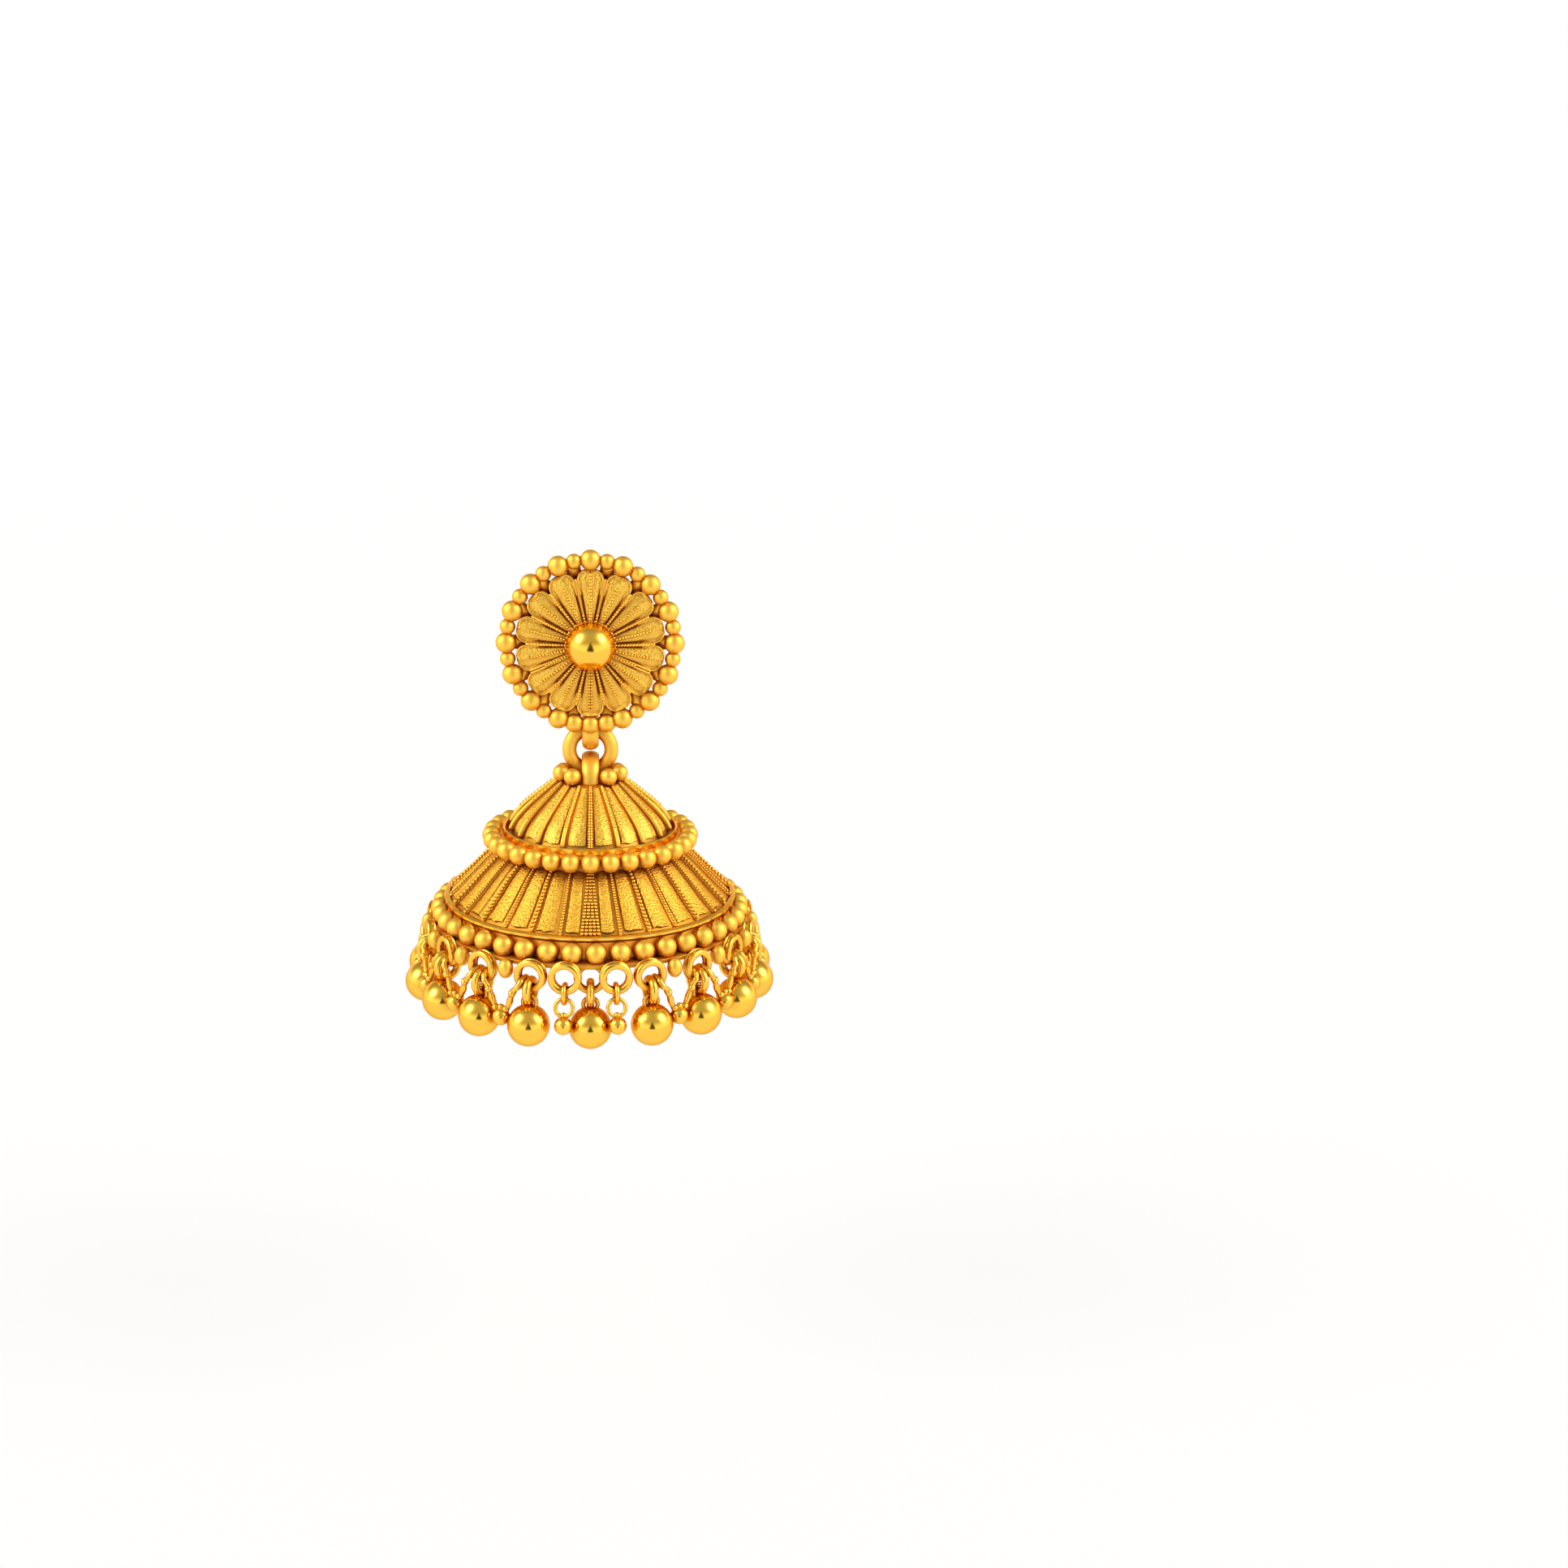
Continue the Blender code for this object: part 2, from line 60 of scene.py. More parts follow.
# Light
WINDOW_LIGHT = 0.4
WINDOW_CORE = 5.5
FRONT_LIGHT = 0.12
ROOM_LIGHT = 0.38
HORIZON_LIGHT = 0.95
GAP_LIGHT = 0.03
WINDOW = (0.77, -0.2, 0.61)  # towards the window on the right; the left one mirrors it
FLOOR_LEVEL = -0.075  # in metres, as are the two below
FLOOR_SIDE = 6.0
FLOOR_FRONT = -0.4
FLOOR_GLOW = 0.74

# Finishes
GOLD_EDGE_TINT = (0.8, 0.42, 0.1, 1)
COAT = 0.4
PIT_SHADE = 0.8  # how light a pit of the grain stays

# Stud
BORDER_RADIUS = 8.25
BORDER_DEPTH = 1.64
BORDER_BEADS = 32
LARGE_BEAD = 2.07
SMALL_BEAD = 1.56
BOTTOM_BEAD = 1.9
PETALS = 14
PETAL_INNER = 2.0
PETAL_OUTER = 7.38
PETAL_TIP = 1.15
PETAL_TIP_DEPTH = 1.75
PETAL_ROOT_DEPTH = 2.62
PETAL_CROWN = 0.26
PETAL_SPINE = 0.09
PLATE_RADIUS = 6.2
PLATE_THICKNESS = 0.7
CENTRE_BALL = 4.8
CENTRE_BALL_DEPTH = 3.39
POST_DIAMETER = 0.9
POST_LENGTH = 10.5
FOOT_SINK = 0.06  # how deep the post's foot sits in the plate

# Jump ring, its eye and the bail
SWING_Z = -9.157
RING_Z = -11.247
RING_WIRE = 1.41
RING_MEAN = 2.09
EYE_HOLE = 0.985
EYE_WALL = 1.08
EYE_WIDTH = 1.75
CAP_Z = -14.34
BAIL_MEAN = 2.36
BAIL_WALL = 0.99
BAIL_WIDTH = 1.75
COLLAR_BEAD = 1.71
COLLAR_RADIUS = 3.1
COLLAR_SLOTS = 10

# Bell
UPPER_TOP_Z = -14.19
UPPER_HEIGHT = 4.94
UPPER_RADIUS = 8.12
UPPER_RIBS = 18
LOWER_TOP_Z = -21.13
LOWER_HEIGHT = 4.85
LOWER_RADIUS = 14.32
LOWER_RIBS = 30
UPPER_OUTLINE = ((0.0, 0.42), (0.25, 0.605), (0.5, 0.775), (0.75, 0.92), (1.0, 1.0))
LOWER_OUTLINE = ((0.0, 0.648), (0.4, 0.792), (0.8, 0.925), (1.0, 1.0))
VALLEY = 0.42  # how deep the dome lies between its ribs
UPPER_BEAD = 1.91
UPPER_BEAD_RADIUS = 9.91
UPPER_BEAD_Z = -20.13
UPPER_BEADS = 32
LOWER_BEAD = 2.14
LOWER_BEAD_RADIUS = 14.99
LOWER_BEAD_Z = -27.6
LOWER_BEADS = 40
LOWER_PHASE = math.radians(2.1)
UPPER_LIP_RADIUS = 8.7
LOWER_LIP_RADIUS = 14.62
RIM_RADIUS = 15.88
RIM_Z = -28.7
WALL = 0.75

# Fringe
BIG_DROPS = 18
LOOP_RADIUS = 16.2
LOOP_Z = -29.7
LOOP_MEAN = 1.3
LOOP_WALL = 0.64
LOOP_DEPTH = 1.0
LINK_MEAN = 1.08
LINK_WIRE = 0.8
LINK_CLEARANCE = 0.1
BIG_BALL = 4.16
BALL_BITE = 0.18
BIG_SPLAY = math.radians(9)
SMALL_BALL = 1.76
THIN_MEAN = 0.88
THIN_WIRE = 0.46
SMALL_EYE_MEAN = 0.85
SMALL_EYE_WIRE = 0.4
SMALL_SPLAY = math.radians(19)
SMALL_DROP = 3.14
ARM_WIRE = 0.6
FRONT_SMALL_ANGLE = math.radians(8.7)
FRONT_SQUEEZE = math.radians(0.8)
CENTRE_RECESS = 1.1
CENTRE_DROP = 0.3
CENTRE_DEPTH = 0.6

ROUND_END = [math.pi / 2 * k / 4 for k in (1, 2, 3, 3.9)]  # how a wire's end closes, as angles


class Shape:
    """Skins gathered into one mesh, in millimetres."""

    def __init__(self):
        self.points = []
        self.faces = []
        self.count = 0

    def add(self, points, faces):
        self.points.append(np.asarray(points, float))
        self.faces.extend(tuple(corner + self.count for corner in face) for face in faces)
        self.count += len(points)

    def add_rows(self, rows, closed=False):
        """Joins loops of points, all of one length, and closes the two ends or joins them."""
        rows = np.asarray(rows, float)
        count, sides = rows.shape[:2]
        faces = []
        for i in range(count if closed else count - 1):
            for j in range(sides):
                k = (j + 1) % sides
                n = (i + 1) % count
                faces.append((i * sides + j, i * sides + k, n * sides + k, n * sides + j))
        if not closed:
            faces.append(tuple(range(sides))[::-1])
            faces.append(tuple(range((count - 1) * sides, count * sides)))
        self.add(rows.reshape(-1, 3), faces)

    def add_ball(self, centre, radius, detail=8, turn=None):
        """A ball, or an ellipsoid where radius gives three half-axes."""
        points, faces = BALLS[detail]
        points = points * radius
        if turn is not None:
            points = points @ np.array(turn.to_3x3()).T
        self.add(points + np.asarray(centre, float), faces)

    def add_ring(self, place, mean, wall, width, sides=40, wire_sides=16, sweep=math.tau, square=1):
        """A ring of wire round place's Z axis, or an arc of it centred on the local -Y.

        wall and width are the wire's sizes across and along the axis, and square above 1
        makes its section boxy.
        """
        closed = sweep == math.tau
        turns = [sweep * i / sides - (0 if closed else sweep / 2) for i in range(sides + (not closed))]
        section = ring_section(wall, width, wire_sides, square)
        stations = [(turn, 1, 0) for turn in turns]
        if not closed:
            tail = [(turns[-1], math.cos(b), math.sin(b)) for b in ROUND_END]
            head = [(turns[0], math.cos(b), -math.sin(b)) for b in reversed(ROUND_END)]
            stations = head + stations + tail
        rows = []
        for turn, scale, past in stations:
            out = np.array((math.sin(turn), -math.cos(turn), 0))
            along = np.array((math.cos(turn), math.sin(turn), 0)) * past * wall / 2
            rows.append([out * (mean + r * scale) + along + (0, 0, h * scale) for r, h in section])
        rotation = np.array(place.to_3x3())
        points = np.array(rows).reshape(-1, 3) @ rotation.T + np.array(place.translation)
        self.add_rows(points.reshape(len(stations), wire_sides, 3), closed)

    def add_tube(self, path, radii, ups, sides=10, flat=1.0):
        """A tube with round ends along path. ups point away from what carries it."""
        path = np.asarray(path, float)
        radii = np.broadcast_to(np.asarray(radii, float), len(path))
        ups = np.broadcast_to(np.asarray(ups, float), path.shape)
        along = np.gradient(path, axis=0)
        along /= np.linalg.norm(along, axis=1, keepdims=True)
        stations = [(path[i], along[i], ups[i], radii[i]) for i in range(len(path))]

        def end(i, onward, turns):
            past = onward * along[i] * radii[i]
            return [
                (path[i] + past * math.sin(b), along[i], ups[i], radii[i] * math.cos(b)) for b in turns
            ]

        head = end(0, -1, reversed(ROUND_END))
        tail = end(-1, 1, ROUND_END)
        rows = []
        for point, ahead, up, r in head + stations + tail:
            side = np.cross(ahead, up)
            side /= np.linalg.norm(side)
            lift = np.cross(side, ahead)
            turns = [math.tau * j / sides for j in range(sides)]
            rows.append([point + (side * math.cos(a) + lift * math.sin(a) * flat) * r for a in turns])
        self.add_rows(rows)

    def add_turned(self, profile, sides=120, dents=0.0):
        """Turns a closed outline of (radius, height) points about the bell's axis.

        dents is how unevenly, in mm, its outer face is worked.
        """
        turns = np.arange(sides) * math.tau / sides
        dips = np.array([chance.uniform(-dents, dents) for _ in turns])
        outer = max(r for r, _ in profile) - 0.2
        rows = []
        for r, z in profile:
            out = r + dips * (r > outer)
            loop = (out * np.sin(turns), -out * np.cos(turns), np.full(sides, z))
            rows.append(np.stack(loop, axis=1))
        self.add_rows(rows, closed=True)

    def finished(self, name, body, finish, nodes, sharp=40):
        """Makes the piece, lets it ride on its body and stand for these nodes."""
        mesh = bpy.data.meshes.new(name)
        mesh.from_pydata((np.concatenate(self.points) * MM).tolist(), [], self.faces)
        mesh.validate()
        mesh.shade_smooth()
        mesh.set_sharp_from_angle(angle=math.radians(sharp))
        mesh.materials.append(finish)
        piece = bpy.data.objects.new(name, mesh)
        bpy.context.scene.collection.objects.link(piece)
        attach(piece, body)
        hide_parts(*nodes)
        return piece


def ring_section(wall, width, sides, square):
    section = []
    for j in range(sides):
        a = math.tau * j / sides
        c, s = math.cos(a), math.sin(a)
        scale = (abs(c) ** (2 * square) + abs(s) ** (2 * square)) ** (-1 / (2 * square))
        section.append((wall / 2 * c * scale, width / 2 * s * scale))
    return section


def cube_ball(detail):
    """A unit ball of quads: a cube's faces, each cut into detail x detail, blown up."""
    index = {}
    points, faces = [], []
    steps = [math.tan(math.pi / 4 * (2 * i / detail - 1)) for i in range(detail + 1)]

    def corner(p):
        length = math.sqrt(sum(c * c for c in p))
        key = tuple(round(c / length, 6) for c in p)
        if key not in index:
            index[key] = len(points)
            points.append([c / length for c in p])
        return index[key]

    for axis in range(3):
        for side in (1, -1):
            for i in range(detail):
                for j in range(detail):
                    square = []
                    for u, v in ((i, j), (i + 1, j), (i + 1, j + 1), (i, j + 1)):
                        p = [0, 0, 0]
                        p[axis] = side
                        p[(axis + 1) % 3] = steps[u]
                        p[(axis + 2) % 3] = steps[v]
                        square.append(corner(p))
                    faces.append(tuple(square if side > 0 else square[::-1]))
    return np.array(points), faces


BALLS = {detail: cube_ball(detail) for detail in (2, 3, 8, 12)}


def on_bell(radius, angle, z):
    return np.array((radius * math.sin(angle), -radius * math.cos(angle), z))


def on_stud(radius, angle, depth):
    return np.array((radius * math.sin(angle), -depth, radius * math.cos(angle)))


def gold(name, colour, painted_shade, roughness, grain=None, wander=0.06, reach=1.1):
    """A gold finish: colour on open faces, a darker colour in the hollows as painted shade, and a
    hammered grain.

    grain is (size of the dots in mm, height of the bump) or None for a smooth surface, and
    reach is how far off, in mm, a neighbour still casts this painted shade on it. wander is how much
    the roughness varies from spot to spot.
    """
    made = bpy.data.materials.new(name)
    made.use_nodes = True
    nodes = made.node_tree.nodes
    links = made.node_tree.links
    shader = nodes["Principled BSDF"]
    shader.inputs["Metallic"].default_value = 1
    shader.inputs["Specular Tint"].default_value = GOLD_EDGE_TINT
    shader.inputs["Coat Weight"].default_value = COAT
    shader.inputs["Coat Roughness"].default_value = roughness
    place = nodes.new("ShaderNodeTexCoord")

    # painted shade: ambient occlusion mixes the colour towards the darker shade colour in hollows and
    # between parts
    shade_occlusion = nodes.new("ShaderNodeAmbientOcclusion")
    shade_occlusion.inputs["Distance"].default_value = reach * MM
    shade_occlusion.samples = 2
    depth = nodes.new("ShaderNodeMapRange")
    depth.inputs["From Min"].default_value = 0.1
    depth.inputs["From Max"].default_value = 0.9
    links.new(shade_occlusion.outputs["AO"], depth.inputs["Value"])
    shade_mix = nodes.new("ShaderNodeMix")
    shade_mix.data_type = "RGBA"
    shade_mix.inputs["A"].default_value = (*painted_shade, 1)
    shade_mix.inputs["B"].default_value = (*colour, 1)
    links.new(depth.outputs["Result"], shade_mix.inputs["Factor"])
    links.new(shade_mix.outputs["Result"], shader.inputs["Base Color"])

    cloud = nodes.new("ShaderNodeTexNoise")
    cloud.inputs["Scale"].default_value = 1 / (2.2 * MM)
    cloud.inputs["Detail"].default_value = 3
    links.new(place.outputs["Object"], cloud.inputs["Vector"])
    rough = nodes.new("ShaderNodeMapRange")
    rough.inputs["To Min"].default_value = roughness - wander
    rough.inputs["To Max"].default_value = roughness + wander
    links.new(cloud.outputs["Fac"], rough.inputs["Value"])
    links.new(rough.outputs["Result"], shader.inputs["Roughness"])

    bump = nodes.new("ShaderNodeBump")
    if grain:
        size, height = grain
        dots = nodes.new("ShaderNodeTexVoronoi")
        dots.inputs["Scale"].default_value = 1 / (size * MM)
        dots.inputs["Randomness"].default_value = 0.85
        links.new(place.outputs["Object"], dots.inputs["Vector"])
        links.new(dots.outputs["Distance"], bump.inputs["Height"])
        # painted shade in the grain: its pits take more of the darker shade colour, down to PIT_SHADE
        pits = nodes.new("ShaderNodeMapRange")
        pits.inputs["From Min"].default_value = 0.25
        pits.inputs["From Max"].default_value = 0.8
        pits.inputs["To Min"].default_value = 1
        pits.inputs["To Max"].default_value = PIT_SHADE
        links.new(dots.outputs["Distance"], pits.inputs["Value"])
        darker = nodes.new("ShaderNodeMath")
        darker.operation = "MULTIPLY"
        links.new(depth.outputs["Result"], darker.inputs[0])
        links.new(pits.outputs["Result"], darker.inputs[1])
        links.new(darker.outputs["Value"], shade_mix.inputs["Factor"])
        bump.invert = True
        bump.inputs["Distance"].default_value = height * MM
        bump.inputs["Strength"].default_value = 0.9
    else:
        scuff = nodes.new("ShaderNodeTexNoise")
        scuff.inputs["Scale"].default_value = 1 / (0.9 * MM)
        scuff.inputs["Detail"].default_value = 2
        links.new(place.outputs["Object"], scuff.inputs["Vector"])
        links.new(scuff.outputs["Fac"], bump.inputs["Height"])
        bump.inputs["Distance"].default_value = 0.02 * MM
        bump.inputs["Strength"].default_value = 0.35
    links.new(bump.outputs["Normal"], shader.inputs["Normal"])
    return made


polished = gold("gold_polished", (1.0, 0.59, 0.06), (0.5, 0.15, 0.005), 0.16, wander=0.02)
satin = gold("gold_satin", (1.0, 0.61, 0.075), (0.6, 0.2, 0.008), 0.46)
stippled = gold(
    "gold_stippled", (1.0, 0.61, 0.07), (0.3, 0.07, 0.002), 0.4, grain=(0.18, 0.06), reach=1.2
)
# its painted shade reaches 2.2 mm, so the panels' tops darken under the bead row
hammered = gold(
    "gold_hammered", (1.0, 0.56, 0.05), (0.25, 0.06, 0.002), 0.48, grain=(0.21, 0.07), reach=2.2
)
# painted shade: a darker gold for the bell's wall, so the grooves between the panels read as shadow
shadow_gold = gold("gold_shadow", (0.85, 0.4, 0.025), (0.2, 0.045, 0.001), 0.45)
wired = gold("gold_wired", (1.0, 0.6, 0.065), (0.5, 0.15, 0.005), 0.22)
edged = gold("gold_edged", (1.0, 0.62, 0.08), (0.95, 0.42, 0.03), 0.2)
inlaid = gold("gold_inlaid", (1.0, 0.58, 0.055), (0.8, 0.3, 0.015), 0.4)

STUD = ("stud",)
BELL = ("bell",)


def upright(angle=0, centre=(0, 0, 0)):
    """A frame in the stud's plane: its Z axis points out of the flower's face."""
    facing_out = Matrix.Rotation(angle, 4, "Y") @ Matrix.Rotation(math.radians(90), 4, "X")
    return Matrix.Translation(centre) @ facing_out


# Stud


def petal_depth(radius):
    share = (radius - PETAL_INNER) / (PETAL_OUTER - PETAL_INNER)
    return PETAL_ROOT_DEPTH + (PETAL_TIP_DEPTH - PETAL_ROOT_DEPTH) * share ** 1.3


def petal_half_width(radius):
    """Half of a petal's width: a wedge that ends in a round tip."""
    wedge = math.tan(math.pi / PETALS * 0.93)
    start = PETAL_OUTER - PETAL_TIP
    if radius <= start:
        return radius * wedge
    past = min(1, (radius - start) / PETAL_TIP)
    return start * wedge * (1 - past ** 2.3) ** (1 / 2.3) + 0.02


def swell(distance, spread):
    return math.exp(-((distance / spread) ** 2))


def make_petals():
    shape = Shape()
    across = np.linspace(-1, 1, 33)
    lengths = list(np.linspace(PETAL_INNER, PETAL_OUTER - 1.5, 16))
    lengths += list(PETAL_OUTER - 1.5 * (1 - np.linspace(0, 1, 16)[1:]) ** 1.5)
    for i in range(PETALS):
        middle = math.tau * i / PETALS
        rows = []
        for radius in lengths:
            half = petal_half_width(radius)
            depth = petal_depth(radius)
            from_tip = PETAL_OUTER - radius
            open_part = min(1, max(0, (radius - 4.6) / 1.4))
            row = []
            for t in across:
                aside = abs(t) * half
                crown = PETAL_CROWN * (1 - abs(t) ** 2.2) * min(1, radius / 4.5)
                spine = PETAL_SPINE * swell(aside, 0.17)
                trough = -0.16 * swell(abs(t) - 0.86, 0.13) * (1 - 0.6 * open_part)
                tip = swell(from_tip - 0.13, 0.1)
                side = swell(half - aside - 0.12, 0.1) * open_part
                inside = swell(from_tip - 0.42, 0.14) + swell(half - aside - 0.38, 0.13) * open_part
                lift = crown + spine + trough + 0.17 * max(tip, side) - 0.05 * min(1, inside)
                row.append(stud_point(middle, radius, t * half, depth + lift))
            below = max(0.55, depth - 0.55) if radius > PLATE_RADIUS else 0.55
            for t in across[::-1]:
                row.append(stud_point(middle, radius, t * half, below))
            rows.append(row)
        shape.add_rows(rows)
    return shape.finished("stud_petals", "stud", stippled, STUD)


def make_petal_edges():
    """A thin bright wire round the tip of each petal."""
    shape = Shape()
    reach = list(np.linspace(5.0, PETAL_OUTER - 1.2, 5))
    reach += list(PETAL_OUTER - 0.1 - 1.1 * (1 - np.linspace(0, 1, 11)[1:]) ** 1.7)
    for i in range(PETALS):
        middle = math.tau * i / PETALS
        sides = [(r, petal_half_width(r) - 0.09) for r in reach]
        outline = [(r, -half) for r, half in sides[:-1]] + [(reach[-1], 0.0)]
        outline += [(r, half) for r, half in reversed(sides[:-1])]
        path = [stud_point(middle, r, aside, petal_depth(r) + 0.13) for r, aside in outline]
        shape.add_tube(path, 0.085, (0, -1, 0), sides=8)
    return shape.finished("stud_petal_edges", "stud", edged, STUD)


def stud_point(middle, radius, sideways, depth):
    """A point by its distance along a petal's midline and its distance beside it."""
    out = on_stud(1, middle, 0)
    side = on_stud(1, middle + math.pi / 2, 0)
    return out * radius + side * sideways + (0, -depth, 0)


def make_petal_ridges():
    """The bars between the petals: smooth at the top of the flower, beaded elsewhere."""
    bars = Shape()
    beads = Shape()
    for i in range(PETALS):
        angle = math.tau * (i + 0.5) / PETALS
        smooth = i in (0, PETALS - 1)
        paired = i in (PETALS // 2 - 3, PETALS // 2 + 2)
        reach = 6.45 if smooth or paired else 6.2
        turn = Matrix.Rotation(angle, 4, "Y")
        lanes = (-0.14, 0.14) if paired else (0,)
        for lane in lanes:
            lengths = np.linspace(2.3, reach, 14)
            radii = [(0.13 + 0.06 * (r - 2.2) / 4) * (0.8 if paired else 1) for r in lengths]
            path = [stud_point(angle, r, lane, petal_depth(r) + 0.12) for r in lengths]
            bars.add_tube(path, radii, (0, -1, 0), sides=10, flat=1.35)
        if smooth:
            stretch = np.arange(2.45, 3.2, 0.28)
        else:
            stretch = np.arange(2.45, 4.9 if paired else 5.9, 0.29)
        for r in stretch:
            width = 0.13 + 0.06 * (r - 2.2) / 4
            size = width * chance.uniform(0.85, 1.05)
            top = petal_depth(r) + 0.12 + 1.35 * width - size * 0.3
            beads.add_ball(on_stud(r, angle, top), np.array((size, size, size * 1.15)), 3, turn)
    bars.finished("stud_ridges", "stud", satin, STUD)
    return beads.finished("stud_ridge_beads", "stud", polished, STUD)


def make_petal_granules():
    shape = Shape()
    for i in range(PETALS):
        angle = math.tau * i / PETALS
        paired = i == PETALS // 2
        r = 2.6
        while r < (6.9 if i in (0, PETALS // 2) else 6.2):
            depth = petal_depth(r) + PETAL_CROWN * min(1, r / 4.5) + PETAL_SPINE + 0.03
            size = chance.uniform(0.14, 0.165)
            if paired:
                for side in (-0.13, 0.13):
                    shape.add_ball(stud_point(angle, r, side, depth - 0.03), size * 0.92, 3)
            else:
                wide = 1.25 if i == 0 else 1
                aside = chance.uniform(-0.025, 0.025)
                shape.add_ball(stud_point(angle, r, aside, depth), size * wide, 3)
            r += chance.uniform(0.28, 0.33)
    return shape.finished("stud_granules", "stud", polished, STUD)


def make_border():
    shape = Shape()
    for i in range(BORDER_BEADS):
        size = SMALL_BEAD if i % 2 else LARGE_BEAD
        if abs(i - BORDER_BEADS // 2) <= 1:
            size = BOTTOM_BEAD
        angle = math.tau * i / BORDER_BEADS
        shape.add_ball(on_stud(BORDER_RADIUS, angle, BORDER_DEPTH), size / 2, 8)
    return shape.finished("stud_border_beads", "stud", satin, STUD)


def make_plate():
    """The stud's back: a disc, tabs between the petals and the wire behind the border."""
    shape = Shape()
    sides = 84
    turns = [math.tau * j / sides for j in range(sides)]
    inset = PLATE_RADIUS - 0.12
    disc = ((inset, 0), (PLATE_RADIUS, 0.1), (PLATE_RADIUS, 0.6), (inset, PLATE_THICKNESS))
    shape.add_rows([[on_stud(radius, a, depth) for a in turns] for radius, depth in disc])
    shape.add_ring(upright(centre=(0, -1.15, 0)), BORDER_RADIUS + 0.05, 0.62, 0.62, 128, 10)
    for i in range(PETALS):
        angle = math.tau * (i + 0.5) / PETALS
        path = [on_stud(r, angle, d) for r, d in ((5.4, 0.6), (6.3, 0.85), (7.0, 1.15), (7.9, 1.4))]
        shape.add_tube(path, (0.45, 0.62, 0.72, 0.78), (0, -1, 0), sides=12, flat=0.55)
    return shape.finished("stud_plate", "stud", inlaid, STUD)


def make_centre():
    ball = Shape()
    ball.add_ball((0, -CENTRE_BALL_DEPTH, 0), CENTRE_BALL / 2, 12)
    ball.finished("stud_centre_ball", "stud", polished, STUD)
    base = Shape()
    base.add_ring(upright(centre=(0, -PETAL_ROOT_DEPTH, 0)), 2.2, 0.5, 0.5, 48, 12)
    scallops = 30
    for i in range(scallops):
        angle = math.tau * i / scallops
        base.add_ball(on_stud(2.33, angle, PETAL_ROOT_DEPTH + 0.1), 0.22, 3)
    return base.finished("stud_centre_base", "stud", satin, STUD)


def make_eye_and_post():
    sideways = Matrix.Translation((0, 0, SWING_Z)) @ Matrix.Rotation(math.radians(90), 4, "Y")
    eye = Shape()
    eye.add_ring(sideways, EYE_HOLE + EYE_WALL / 2, EYE_WALL * 1.04, EYE_WIDTH * 0.94, 48, 24)
    eye.finished("stud_eye", "stud", satin, STUD)
    post = Shape()
    r = POST_DIAMETER / 2
    groove = [(9.0, r), (9.15, r * 0.72), (9.5, r * 0.72), (9.65, r)]
    shank = [(0.2, r)] + groove + [(10.2, r), (10.42, r * 0.75), (POST_LENGTH, r * 0.35)]
    foot = ((0.0, 1.1), (0.12, 1.1), (0.3, 0.75), (0.75, 0.48))
    foot = [(y - FOOT_SINK, radius) for y, radius in foot]
    turns = [math.tau * j / 24 for j in range(24)]
    for outline in (shank, foot):
        post.add_rows(
            [[(radius * math.cos(a), y, radius * math.sin(a)) for a in turns] for y, radius in outline]
        )
    return post.finished("ear_post", "stud", satin, STUD)


# Jump ring, bail and collar


def make_ring():
    shape = Shape()
    shape.add_ring(upright(centre=(0, 0, RING_Z)), RING_MEAN, RING_WIRE, RING_WIRE, 72, 24)
    return shape.finished("ring_wire", "ring", satin, ("jump_ring",))


def make_bail():
    shape = Shape()
    turned = Matrix.Rotation(math.radians(90), 4, "Y") @ Matrix.Rotation(math.radians(-90), 4, "Z")
    place = Matrix.Translation((0, 0, CAP_Z)) @ turned
    shape.add_ring(place, BAIL_MEAN, BAIL_WALL, BAIL_WIDTH, 36, 24, math.radians(172))
    shape.finished("bell_bail", "bell", satin, BELL)
    collar = Shape()
    for i in range(COLLAR_SLOTS):
        if i % (COLLAR_SLOTS // 2):
            angle = math.tau * i / COLLAR_SLOTS
            behind = math.cos(angle) < 0
            height = UPPER_TOP_Z + COLLAR_BEAD / 2 - (0.4 if behind else 0.1)
            radius = COLLAR_RADIUS - (0.25 if behind else 0.05)
            collar.add_ball(on_bell(radius, angle, height), COLLAR_BEAD / 2, 8)
    return collar.finished("bell_collar_beads", "bell", satin, BELL)


# Domes


class Dome:
    """A ribbed dome by its outline: share of its height from the top, share of its radius."""

    def __init__(self, outline, top, height, radius):
        shares, radii = zip(*outline)
        self.curve = np.polyfit(shares, radii, 3)
        self.top, self.height, self.rim = top, height, radius

    def row(self, share):
        """(radius, z, and the outward slope as a unit normal in that plane)."""
        radius = self.rim * np.polyval(self.curve, share)
        slope = self.rim * np.polyval(np.polyder(self.curve), share) / self.height
        length = math.hypot(1, slope)
        return radius, self.top - self.height * share, 1 / length, slope / length

    def point(self, share, angle, rise=0.0):
        radius, z, out, up = self.row(share)
        return on_bell(radius + rise * out, angle, z + rise * up)

    def normal(self, share, angle):
        _, _, out, up = self.row(share)
        return np.array((out * math.sin(angle), -out * math.cos(angle), up))


upper = Dome(UPPER_OUTLINE, UPPER_TOP_Z, UPPER_HEIGHT, UPPER_RADIUS)
lower = Dome(LOWER_OUTLINE, LOWER_TOP_Z, LOWER_HEIGHT, LOWER_RADIUS)


def ragged(count, least, most):
    """How far the lower edge of a beaten panel runs past its end, point by point."""
    knots = [chance.uniform(least, most) for _ in range(max(4, count // 3))]
    return np.interp(np.linspace(0, 1, count), np.linspace(0, 1, len(knots)), knots)


